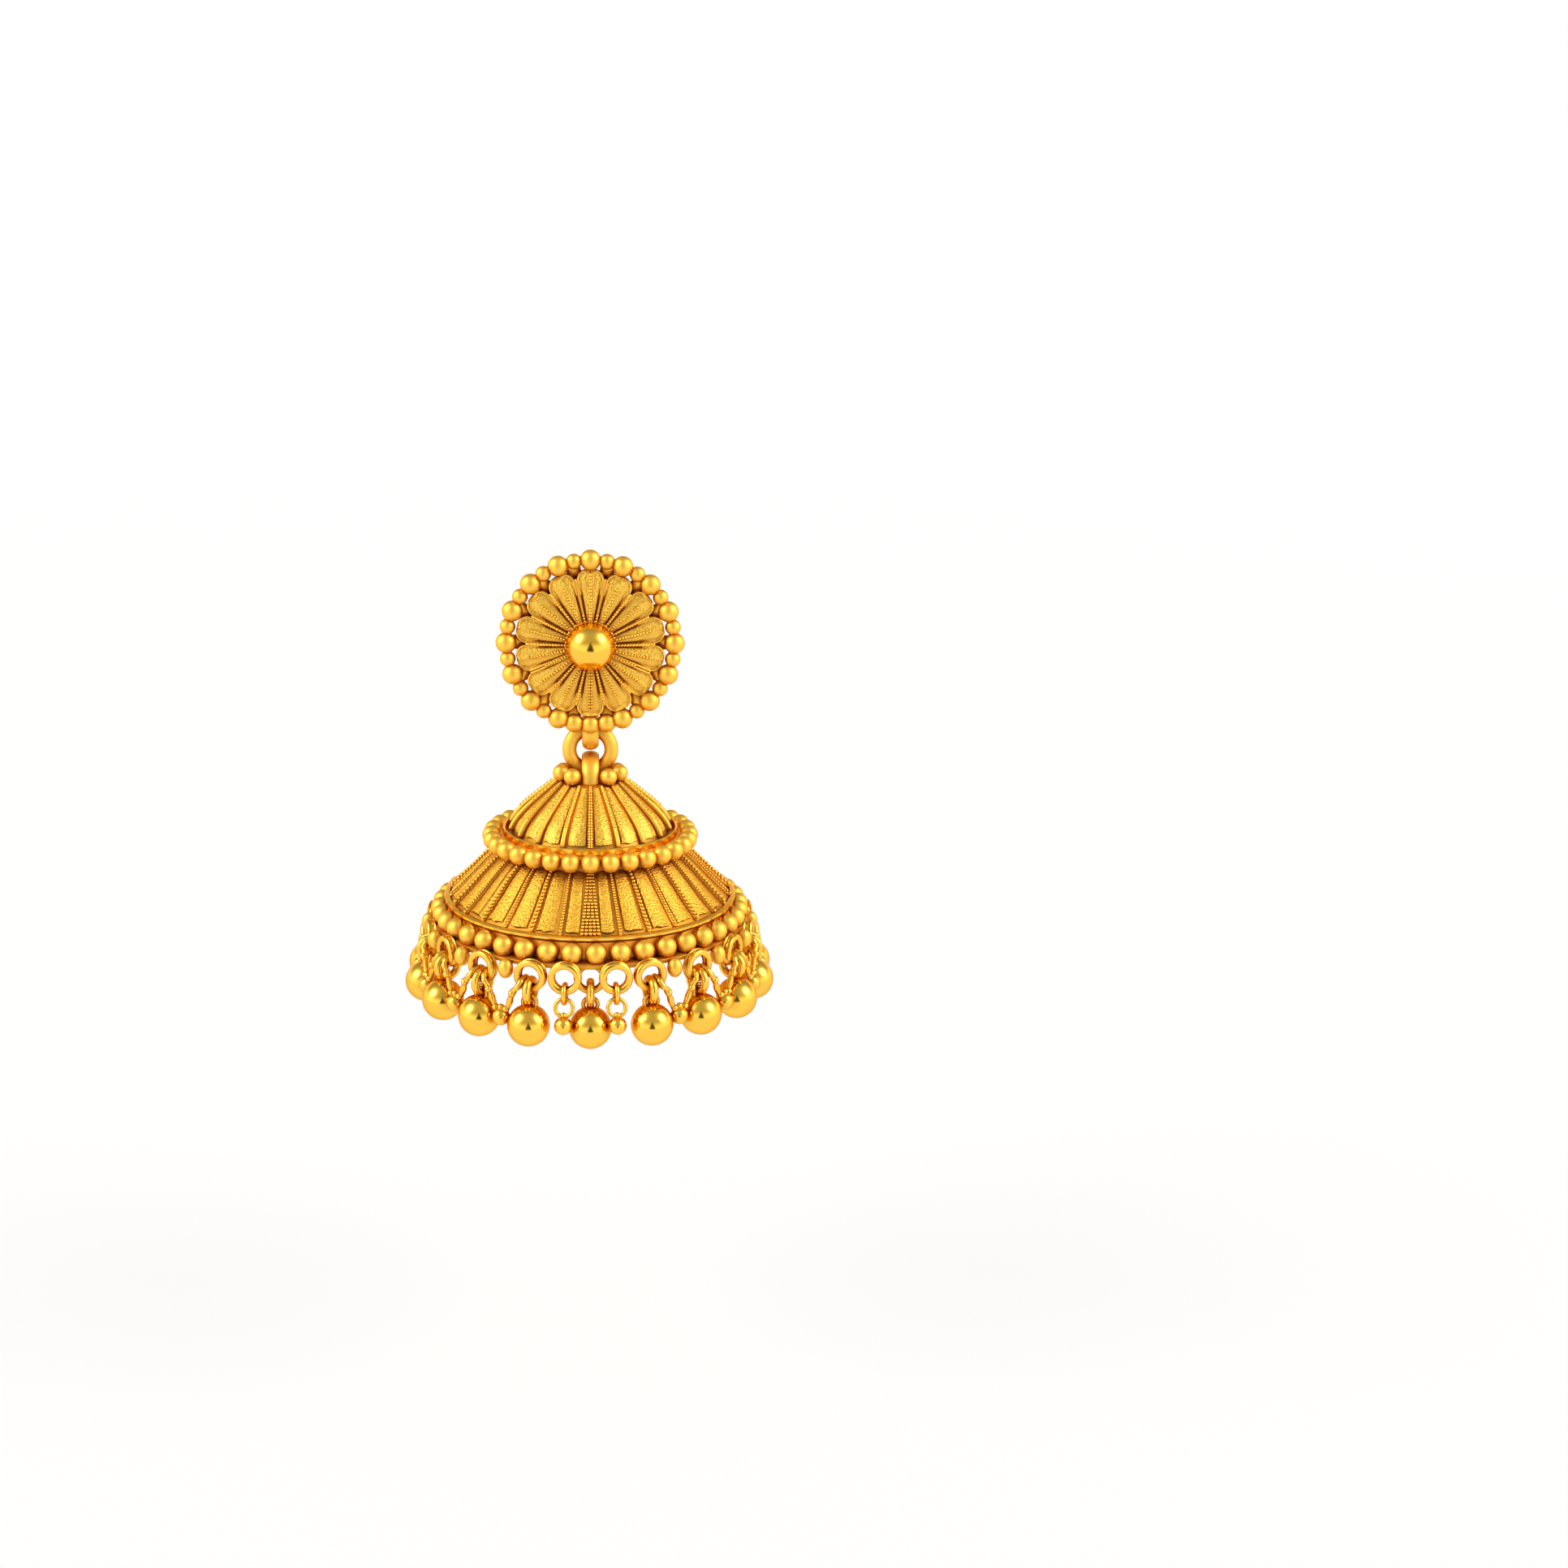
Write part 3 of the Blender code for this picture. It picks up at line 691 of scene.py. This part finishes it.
def add_panel(shape, dome, left, right, shares, rise, crown, step=None, figures=0):
    """A beaten plate between two ribs: a little crowned, with a ragged lower edge.

    step is where a lower strip begins, and figures is how many small raised marks it bears.
    """
    across = np.linspace(0, 1, 17)
    edge = ragged(len(across), -0.03, 0.012)
    slant = chance.uniform(-0.13, 0.13)
    marks = [
        (chance.uniform(0.25, 0.75), 0.62 + 0.2 * k, chance.uniform(-0.3, 0.3)) for k in range(figures)
    ]
    rows = []
    for share in shares:
        end = (share - shares[0]) / (shares[-1] - shares[0])
        row = []
        for t, past in zip(across, edge):
            angle = left + (right - left) * t
            lift = rise + crown * (1 - (2 * t - 1) ** 2) + slant * (t - 0.5)
            lift -= 0.14 * (max(0, abs(2 * t - 1) - 0.86) / 0.14) ** 2
            if step and t > step:
                lift -= 0.13
            for centre, height, lean in marks:
                off = t - centre - lean * (end - height)
                lift += 0.1 * math.exp(-((off / 0.1) ** 2) - ((end - height) / 0.09) ** 2)
            row.append(dome.point(share + past * end ** 6, angle, lift - VALLEY))
        for t, past in zip(across[::-1], edge[::-1]):
            angle = left + (right - left) * t
            row.append(dome.point(share + past * end ** 6, angle, -0.1 - VALLEY))
        rows.append(row)
    shape.add_rows(rows)


def make_upper_dome():
    panels, ribs, beads = Shape(), Shape(), Shape()
    pitch = math.tau / UPPER_RIBS
    shares = np.linspace(0.01, 0.95, 16)
    for i in range(UPPER_RIBS):
        rib = pitch * i
        add_panel(panels, upper, rib + pitch * 0.13, rib + pitch * 0.87, shares, 0.16, 0.1, figures=2)
        along = np.linspace(0.0, 0.985, 22)
        width = [0.17 + 0.07 * s for s in along]
        path = [upper.point(s, rib, w * 0.6 - VALLEY + 0.16) for s, w in zip(along, width)]
        ups = [upper.normal(s, rib) for s in along]
        ribs.add_tube(path, width, ups, sides=12, flat=1.35)
        if i == 0:
            stretch = np.arange(0.08, 0.99, 0.045)
        elif i % 2:
            stretch = np.arange(0.1, 0.66, 0.055)
        else:
            stretch = np.arange(0.12, 0.4, 0.055)
        for s in stretch:
            w = 0.17 + 0.07 * s
            size = w * (1.2 if i == 0 else 0.86) * chance.uniform(0.95, 1.05)
            rise = w * (0.6 + 1.35) - VALLEY + 0.16 - size * 0.45
            axes = np.array((size, size, size * 0.8))
            beads.add_ball(upper.point(s, rib, rise), axes, 3, facing(upper, s, rib))
    panels.finished("bell_upper_panels", "bell", stippled, BELL)
    ribs.finished("bell_upper_ribs", "bell", satin, BELL)
    return beads.finished("bell_upper_granules", "bell", polished, BELL)


def facing(dome, share, angle):
    """A turn that lays a granule's Z axis down the slope of the dome."""
    _, _, out, up = dome.row(share)
    return Matrix.Rotation(angle, 4, "Z") @ Matrix.Rotation(-math.atan2(up, out), 4, "X")


def make_lower_dome():
    panels, ribs, beads = Shape(), Shape(), Shape()
    pitch = math.tau / LOWER_RIBS
    shares = np.linspace(-0.07, 0.95, 16)
    for i in range(LOWER_RIBS):
        rib = pitch * i
        left = rib + pitch * (0.33 if i == 0 else 0.14)
        right = rib + pitch * (0.67 if i == LOWER_RIBS - 1 else 0.82)
        step = chance.choice((None, None, 0.72, 0.3)) if 3 < i < LOWER_RIBS - 3 else None
        add_panel(panels, lower, left, right, shares, 0.22 + chance.uniform(-0.05, 0.05), 0.09, step)
        if i == 0:
            add_centre_strip(ribs, beads)
            continue
        along = np.linspace(-0.05, 0.98, 22)
        heavy = i % 2 == 0
        base = [(0.12 + 0.04 * s) * (1.15 if heavy else 1) for s in along]
        path = [lower.point(s, rib, w * 0.4 - VALLEY + 0.1) for s, w in zip(along, base)]
        ups = [lower.normal(s, rib) for s in along]
        ribs.add_tube(path, base, ups, sides=10, flat=1.2)
        s = -0.02
        while s < 0.985:
            size = (0.18 + 0.05 * s if heavy else 0.13 + 0.035 * s) * chance.uniform(0.92, 1.06)
            beads.add_ball(lower.point(s, rib, 0.13 * 1.5 - VALLEY + 0.12 + size * 0.4), size, 3)
            s += size * 1.85 / 6.4
    panels.finished("bell_lower_panels", "bell", hammered, BELL)
    ribs.finished("bell_lower_ribs", "bell", satin, BELL)
    return beads.finished("bell_lower_granules", "bell", polished, BELL)


def add_centre_strip(ribs, beads):
    """The band of granules down the front of the lower dome, wider towards its foot."""
    rows = []
    for s in np.linspace(-0.06, 0.975, 14):
        half = math.radians(1.6 + 2.5 * s)
        row = [lower.point(s, half * t, 0.2 - VALLEY) for t in np.linspace(-1, 1, 9)]
        row += [lower.point(s, half * t, -0.1 - VALLEY) for t in np.linspace(1, -1, 9)]
        rows.append(row)
    ribs.add_rows(rows)
    for s in np.arange(-0.02, 0.98, 0.052):
        columns = 3 if s < 0.45 else 4 if s < 0.75 else 5
        half = math.radians(1.6 + 2.5 * s) * 0.84
        for c in range(columns):
            t = 2 * c / (columns - 1) - 1
            size = 0.15 + 0.035 * s + chance.uniform(-0.01, 0.015)
            beads.add_ball(lower.point(s, half * t, 0.2 - VALLEY + size * 0.45), size, 3)


def make_shell():
    """The bell's wall, in a darker gold that paints shade into the grooves: the ground under the
    panels, the ledges, the rim and the inside.
    """
    outer = [(1.2, CAP_Z + 0.02), (2.6, UPPER_TOP_Z + 0.02)]
    outer += [(upper.row(s)[0] - VALLEY, upper.row(s)[1]) for s in np.linspace(0, 0.93, 12)]
    outer += [(UPPER_RADIUS - 0.15, UPPER_TOP_Z - UPPER_HEIGHT - 0.42)]
    outer += [(UPPER_LIP_RADIUS + 0.3, -19.85)]
    outer += [(UPPER_BEAD_RADIUS - 0.5, -20.3), (9.2, -20.8)]
    outer += [(lower.row(s)[0] - VALLEY, lower.row(s)[1]) for s in np.linspace(0.04, 0.94, 12)]
    outer += [(LOWER_RADIUS - 0.1, -26.4), (14.2, -26.7), (14.2, -28.3)]
    outer += [(RIM_RADIUS - 0.08, RIM_Z + 0.24), (RIM_RADIUS, RIM_Z + 0.16), (RIM_RADIUS, RIM_Z - 0.14)]
    outer += [(RIM_RADIUS - 0.08, RIM_Z - 0.22), (13.6, RIM_Z - 0.22), (13.35, RIM_Z)]
    inner = [(lower.row(s)[0] - VALLEY - WALL, lower.row(s)[1]) for s in np.linspace(0.95, 0.05, 12)]
    inner += [(upper.row(s)[0] - VALLEY - WALL, upper.row(s)[1]) for s in np.linspace(0.98, 0.12, 12)]
    inner += [(2.2, CAP_Z - WALL), (1.2, CAP_Z - WALL)]
    shape = Shape()
    shape.add_turned(outer + inner)
    turns = [math.tau * j / 48 for j in range(48)]
    shape.add_rows([[on_bell(1.25, a, z) for a in turns] for z in (CAP_Z - WALL, CAP_Z + 0.03)])
    return shape.finished("bell_shell", "bell", shadow_gold, BELL)


def make_lips():
    """The thin upstanding bands at the foot of each dome."""
    shape = Shape()
    z = UPPER_TOP_Z - UPPER_HEIGHT
    r = UPPER_LIP_RADIUS
    band = [(r - 0.2, z), (r - 0.06, z + 0.1), (r + 0.06, z + 0.02), (r + 0.1, z - 0.5)]
    shape.add_turned(band + [(r - 0.2, z - 0.6)], 160, 0.035)
    z = LOWER_TOP_Z - LOWER_HEIGHT
    r = LOWER_LIP_RADIUS
    band = [(r - 0.45, z - 0.1), (r - 0.1, z - 0.06), (r + 0.1, z - 0.18), (r + 0.08, z - 0.42)]
    shape.add_turned(band + [(r - 0.5, z - 0.5)], 200, 0.04)
    shape.finished("bell_lips", "bell", edged, BELL)
    belts = Shape()
    z = UPPER_BEAD_Z
    r = UPPER_BEAD_RADIUS
    band = [(r - 1.3, z + 0.5), (r - 0.4, z + 0.3), (r - 0.3, z - 0.1), (r - 0.6, z - 0.5)]
    belts.add_turned(band + [(r - 1.3, z - 0.6)], 96)
    r = LOWER_BEAD_RADIUS
    z = LOWER_BEAD_Z
    band = [(r - 1.2, z + 1.0), (r - 0.55, z + 0.9), (r - 0.5, z), (r - 0.45, z - 0.85)]
    belts.add_turned(band + [(r - 1.2, z - 0.9)], 128)
    return belts.finished("bell_belts", "bell", inlaid, BELL)


def make_bead_rows():
    for name, count, size, radius, z, phase in (
        ("bell_upper_beads", UPPER_BEADS, UPPER_BEAD, UPPER_BEAD_RADIUS, UPPER_BEAD_Z, 0),
        ("bell_lower_beads", LOWER_BEADS, LOWER_BEAD, LOWER_BEAD_RADIUS, LOWER_BEAD_Z, LOWER_PHASE),
    ):
        shape = Shape()
        for i in range(count):
            shape.add_ball(on_bell(radius, math.tau * i / count + phase, z), size / 2, 8)
        shape.finished(name, "bell", satin, BELL)


# Fringe


def big_places():
    """(angle, how far back, how far down) of the loop of each big drop, from the front."""
    places = []
    for i in range(BIG_DROPS):
        angle = math.tau * i / BIG_DROPS
        if i == 0:
            places.append((angle, CENTRE_RECESS, CENTRE_DROP))
        elif i in (1, BIG_DROPS - 1):
            places.append((angle + (FRONT_SQUEEZE if i == 1 else -FRONT_SQUEEZE), 0, 0))
        else:
            places.append((angle, 0, 0))
    return places


def matrix_at(radius, angle, z):
    spot = on_bell(radius, angle, z)
    return Matrix.Translation(spot) @ Matrix.Rotation(angle, 4, "Z")


def add_loop(shape, place, depth):
    """A band bent to a ring, with a bead of metal along each of its two edges."""
    shape.add_ring(place, LOOP_MEAN - 0.03, LOOP_WALL - 0.14, depth - 0.12, 44, 12, square=1.6)
    for side in (-1, 1):
        edge = place @ Matrix.Translation((0, 0, side * (depth / 2 - 0.17)))
        shape.add_ring(edge, LOOP_MEAN, LOOP_WALL, 0.36, 44, 12)


def make_loops():
    shape = Shape()
    flat = Matrix.Rotation(math.radians(90), 4, "X")
    for angle, recess, lowered in big_places():
        depth = CENTRE_DEPTH if recess else LOOP_DEPTH
        place = matrix_at(LOOP_RADIUS - recess, angle, LOOP_Z - lowered) @ flat
        add_loop(shape, place, depth)
    for angle in (FRONT_SMALL_ANGLE, -FRONT_SMALL_ANGLE):
        add_loop(shape, matrix_at(LOOP_RADIUS, angle, LOOP_Z) @ flat, LOOP_DEPTH)
    shape.finished("bell_loops", "bell", wired, BELL)
    seeds = Shape()
    for i in range(1, BIG_DROPS - 1):
        angle = math.tau * (i + 0.5) / BIG_DROPS
        centre = on_bell(LOOP_RADIUS + 0.1, angle, LOOP_Z + 0.35)
        seeds.add_ball(centre, np.array((0.76, 0.76, 0.98)), 8, Matrix.Rotation(angle, 4, "Z"))
    return seeds.finished("bell_rim_beads", "bell", satin, BELL)


def hanging(angle, recess, lowered, splay):
    """A frame at the bottom of a loop's wire: -Y away from the bell, -Z down the drop."""
    bottom = LOOP_Z - LOOP_MEAN - lowered
    return matrix_at(LOOP_RADIUS - recess, angle, bottom) @ Matrix.Rotation(-splay, 4, "X")


def place_of(frame_matrix, z, axis):
    """A frame down the drop whose Z axis points sideways (Y) or away from the bell (X)."""
    return frame_matrix @ Matrix.Translation((0, 0, z)) @ Matrix.Rotation(math.radians(90), 4, axis)


def make_big_drop(number, angle, recess, lowered):
    shape = Shape()
    place = hanging(angle, recess, lowered, BIG_SPLAY)
    hole = LINK_MEAN - LINK_WIRE / 2
    link_z = LOOP_WALL / 2 + LINK_CLEARANCE - hole
    shape.add_ring(place_of(place, link_z, "Y"), LINK_MEAN, LINK_WIRE, LINK_WIRE, 40, 16)
    shape.add_ring(place_of(place, link_z - LINK_MEAN - 0.05, "X"), 0.7, 0.42, 0.42, 32, 12)
    name = f"big_drop_{number:02d}"
    shape.finished("link_" + name, "bell", wired, (name,))
    ball = Shape()
    centre = place @ Vector((0, 0, link_z - LINK_MEAN - LINK_WIRE / 2 + BALL_BITE - BIG_BALL / 2))
    ball.add_ball(centre, BIG_BALL / 2, 12)
    return ball.finished("ball_" + name, "bell", polished, (name,))


def make_small_drop_on_loop(number, angle):
    shape = Shape()
    place = hanging(angle, 0, 0, SMALL_SPLAY)
    hole = THIN_MEAN - THIN_WIRE / 2
    link_z = LOOP_WALL / 2 + LINK_CLEARANCE - hole
    shape.add_ring(place_of(place, link_z, "Y"), THIN_MEAN, THIN_WIRE, THIN_WIRE, 36, 14)
    eye_z = link_z - hole - (SMALL_EYE_MEAN - SMALL_EYE_WIRE / 2) - 0.1
    shape.add_ring(place_of(place, eye_z, "X"), SMALL_EYE_MEAN, SMALL_EYE_WIRE, SMALL_EYE_WIRE, 36, 14)
    ball_z = eye_z - SMALL_EYE_MEAN - SMALL_EYE_WIRE / 2 + 0.2 - SMALL_BALL / 2
    shape.add_ball(place @ Vector((0, 0, ball_z)), SMALL_BALL / 2, 8)
    shape.add_ball(place @ Vector((0, 0, ball_z + SMALL_BALL / 2 + 0.12)), 0.3, 3)
    shape.add_ball(place @ Vector((0, -0.1, link_z - THIN_MEAN)), 0.3, 3)
    name = f"small_drop_{number:02d}"
    return shape.finished("ball_" + name, "bell", wired, (name,))


def make_small_drop_on_arms(number, angle, neighbours):
    shape = Shape()
    centre = hanging(angle, 0, 0, SMALL_SPLAY) @ Vector((0, 0, -SMALL_DROP))
    centre = np.array(centre)
    shape.add_ball(centre, SMALL_BALL / 2, 8)
    shape.add_ball(centre + (0, 0, SMALL_BALL / 2 + 0.08), 0.34, 3)
    front = LOOP_RADIUS + LOOP_DEPTH / 2 + 0.28
    behind = LOOP_RADIUS - LOOP_DEPTH / 2 - 0.2
    hook = LINK_WIRE / 2 + 0.1 + 0.18
    for loop_angle in neighbours:
        side = 1 if angle > loop_angle else -1
        hooked = loop_angle + side * hook / LOOP_RADIUS
        bent = loop_angle + side * (hook + 0.75) / LOOP_RADIUS
        low = LOOP_Z - LOOP_MEAN - LOOP_WALL / 2
        knots = [
            centre + (0, 0, SMALL_BALL * 0.4),
            centre * 0.5 + on_bell(front, bent, low - 0.3) * 0.5 + (0, 0, -0.25),
            on_bell(front + 0.1, bent, low - 0.05),
            on_bell(front + 0.08, hooked + side * 0.01, low + 0.75),
            on_bell(LOOP_RADIUS + 0.2, hooked, LOOP_Z - 0.35),
            on_bell(behind, hooked, LOOP_Z - 0.5),
        ]
        path = smooth_path(knots, 24)
        twist = [ARM_WIRE / 2 * (1 + 0.16 * math.sin(k * 2.1)) for k in range(len(path))]
        shape.add_tube(path, twist, np.array(on_bell(1, angle, 0)), sides=10)
        for k, size in ((4, 0.36), (9, 0.38)):
            shape.add_ball(path[k] + np.array(on_bell(0.12, angle, 0)), size, 3)
    name = f"small_drop_{number:02d}"
    return shape.finished("ball_" + name, "bell", wired, (name,))


def smooth_path(knots, steps):
    """A Catmull-Rom curve through the knots."""
    knots = np.asarray(knots, float)
    ends = np.vstack((2 * knots[0] - knots[1], knots, 2 * knots[-1] - knots[-2]))
    path = []
    for u in np.linspace(0, len(knots) - 1.000001, steps):
        i = int(u)
        f = u - i
        a, b, c, d = ends[i : i + 4]
        square = (2 * a - 5 * b + 4 * c - d) * f * f
        cube = (3 * b - a - 3 * c + d) * f ** 3
        path.append(0.5 * (2 * b + (c - a) * f + square + cube))
    return np.array(path)


def make_fringe():
    places = big_places()
    for i, (angle, recess, lowered) in enumerate(places):
        make_big_drop(i + 1, angle, recess, lowered)
    for i in range(BIG_DROPS):
        if i == 0:
            make_small_drop_on_loop(i + 1, FRONT_SMALL_ANGLE)
        elif i == BIG_DROPS - 1:
            make_small_drop_on_loop(i + 1, -FRONT_SMALL_ANGLE)
        else:
            middle = math.tau * (i + 0.5) / BIG_DROPS
            sides = (places[i][0], places[(i + 1) % BIG_DROPS][0] or math.tau)
            make_small_drop_on_arms(i + 1, middle, sides)


# Studio


def make_camera():
    toward = Vector((0, -math.cos(CAMERA_HEIGHT), math.sin(CAMERA_HEIGHT)))
    up = Vector((1, 0, 0)).cross(-toward)
    scale = CAMERA_DISTANCE / CAMERA_DISTANCE_PIXELS
    aside = (PHOTO_SIDE / 2 - EARRING_PIXEL[0]) * scale
    above = (EARRING_PIXEL[1] - PHOTO_SIDE / 2) * scale
    spot = AIM + toward * CAMERA_DISTANCE
    level = (AIM + up * above - spot).to_track_quat("-Z", "Y").to_matrix().to_4x4()
    turn = Matrix.Rotation(-math.atan2(aside, CAMERA_DISTANCE), 4, "Y")
    data = bpy.data.cameras.new("camera")
    data.sensor_width = SENSOR
    data.lens = SENSOR * CAMERA_DISTANCE_PIXELS / PHOTO_SIDE
    data.clip_start = 0.01
    camera = bpy.data.objects.new("camera", data)
    bpy.context.scene.collection.objects.link(camera)
    camera.matrix_world = Matrix.Translation(spot * MM) @ level @ turn
    bpy.context.scene.camera = camera


def make_floor():
    """A white table top below the earring."""
    mesh = bpy.data.meshes.new("floor")
    side, level, front = FLOOR_SIDE, FLOOR_LEVEL, FLOOR_FRONT
    corners = [(-side, front, level), (side, front, level), (side, side, level), (-side, side, level)]
    mesh.from_pydata(corners, [], [(0, 1, 2, 3)])
    paper = bpy.data.materials.new("white_paper")
    paper.use_nodes = True
    shader = paper.node_tree.nodes["Principled BSDF"]
    shader.inputs["Base Color"].default_value = (0.2, 0.2, 0.2, 1)
    shader.inputs["Roughness"].default_value = 0.9
    shader.inputs["Emission Color"].default_value = (1, 1, 1, 1)
    shader.inputs["Emission Strength"].default_value = FLOOR_GLOW
    mesh.materials.append(paper)
    floor = bpy.data.objects.new("floor", mesh)
    bpy.context.scene.collection.objects.link(floor)


def make_room():
    """A pale room with two large soft windows of light, and a dark gap between them."""
    world = bpy.data.worlds.new("studio")
    bpy.context.scene.world = world
    world.use_nodes = True
    nodes, links = world.node_tree.nodes, world.node_tree.links
    nodes.clear()

    def calc(operation, *values):
        node = nodes.new("ShaderNodeMath")
        node.operation = operation
        for socket, value in zip(node.inputs, values):
            if isinstance(value, (int, float)):
                socket.default_value = value
            else:
                links.new(value, socket)
        return node.outputs[0]

    def step(value, start, end):
        node = nodes.new("ShaderNodeMapRange")
        node.interpolation_type = "SMOOTHSTEP"
        node.inputs["From Min"].default_value = start
        node.inputs["From Max"].default_value = end
        links.new(value, node.inputs["Value"])
        return node.outputs["Result"]

    place = nodes.new("ShaderNodeTexCoord")
    parts = nodes.new("ShaderNodeSeparateXYZ")
    links.new(place.outputs["Generated"], parts.inputs["Vector"])
    x, y, z = parts.outputs
    aside = calc("ABSOLUTE", x)

    def lobe(direction, start, end):
        toward = calc("MULTIPLY", aside, direction[0])
        toward = calc("MULTIPLY_ADD", y, direction[1], toward)
        return step(calc("MULTIPLY_ADD", z, direction[2], toward), start, end)

    windows = calc("MULTIPLY", lobe(WINDOW, 0.76, 0.97), WINDOW_LIGHT)
    windows = calc("MULTIPLY_ADD", lobe(WINDOW, 0.93, 0.99), WINDOW_CORE, windows)
    front = calc("MULTIPLY", lobe((0, -0.6, 0.8), 0.7, 0.97), FRONT_LIGHT)
    glow = calc("ADD", calc("ADD", windows, front), ROOM_LIGHT)
    glow = calc("MULTIPLY_ADD", step(z, 0.55, 0.05), HORIZON_LIGHT, glow)
    beside = calc("MULTIPLY_ADD", calc("MAXIMUM", z, 0), 0.5, aside)
    open_room = calc("MAXIMUM", step(beside, 0.2, 0.35), step(y, -0.2, 0.3))
    light = calc("ADD", calc("MULTIPLY", glow, open_room), GAP_LIGHT)

    room = nodes.new("ShaderNodeBackground")
    room.inputs["Color"].default_value = (1, 0.97, 0.91, 1)
    links.new(light, room.inputs["Strength"])
    white = nodes.new("ShaderNodeBackground")
    white.inputs["Color"].default_value = (1, 1, 1, 1)
    ray = nodes.new("ShaderNodeLightPath")
    either = nodes.new("ShaderNodeMixShader")
    links.new(ray.outputs["Is Camera Ray"], either.inputs["Fac"])
    links.new(room.outputs["Background"], either.inputs[1])
    links.new(white.outputs["Background"], either.inputs[2])
    out = nodes.new("ShaderNodeOutputWorld")
    links.new(either.outputs["Shader"], out.inputs["Surface"])
    bpy.context.scene.view_settings.view_transform = "Standard"


make_camera()
make_petals()
make_petal_edges()
make_petal_ridges()
make_petal_granules()
make_border()
make_plate()
make_centre()
make_eye_and_post()
make_ring()
make_bail()
make_shell()
make_lips()
make_upper_dome()
make_lower_dome()
make_bead_rows()
make_loops()
make_fringe()
make_floor()
make_room()
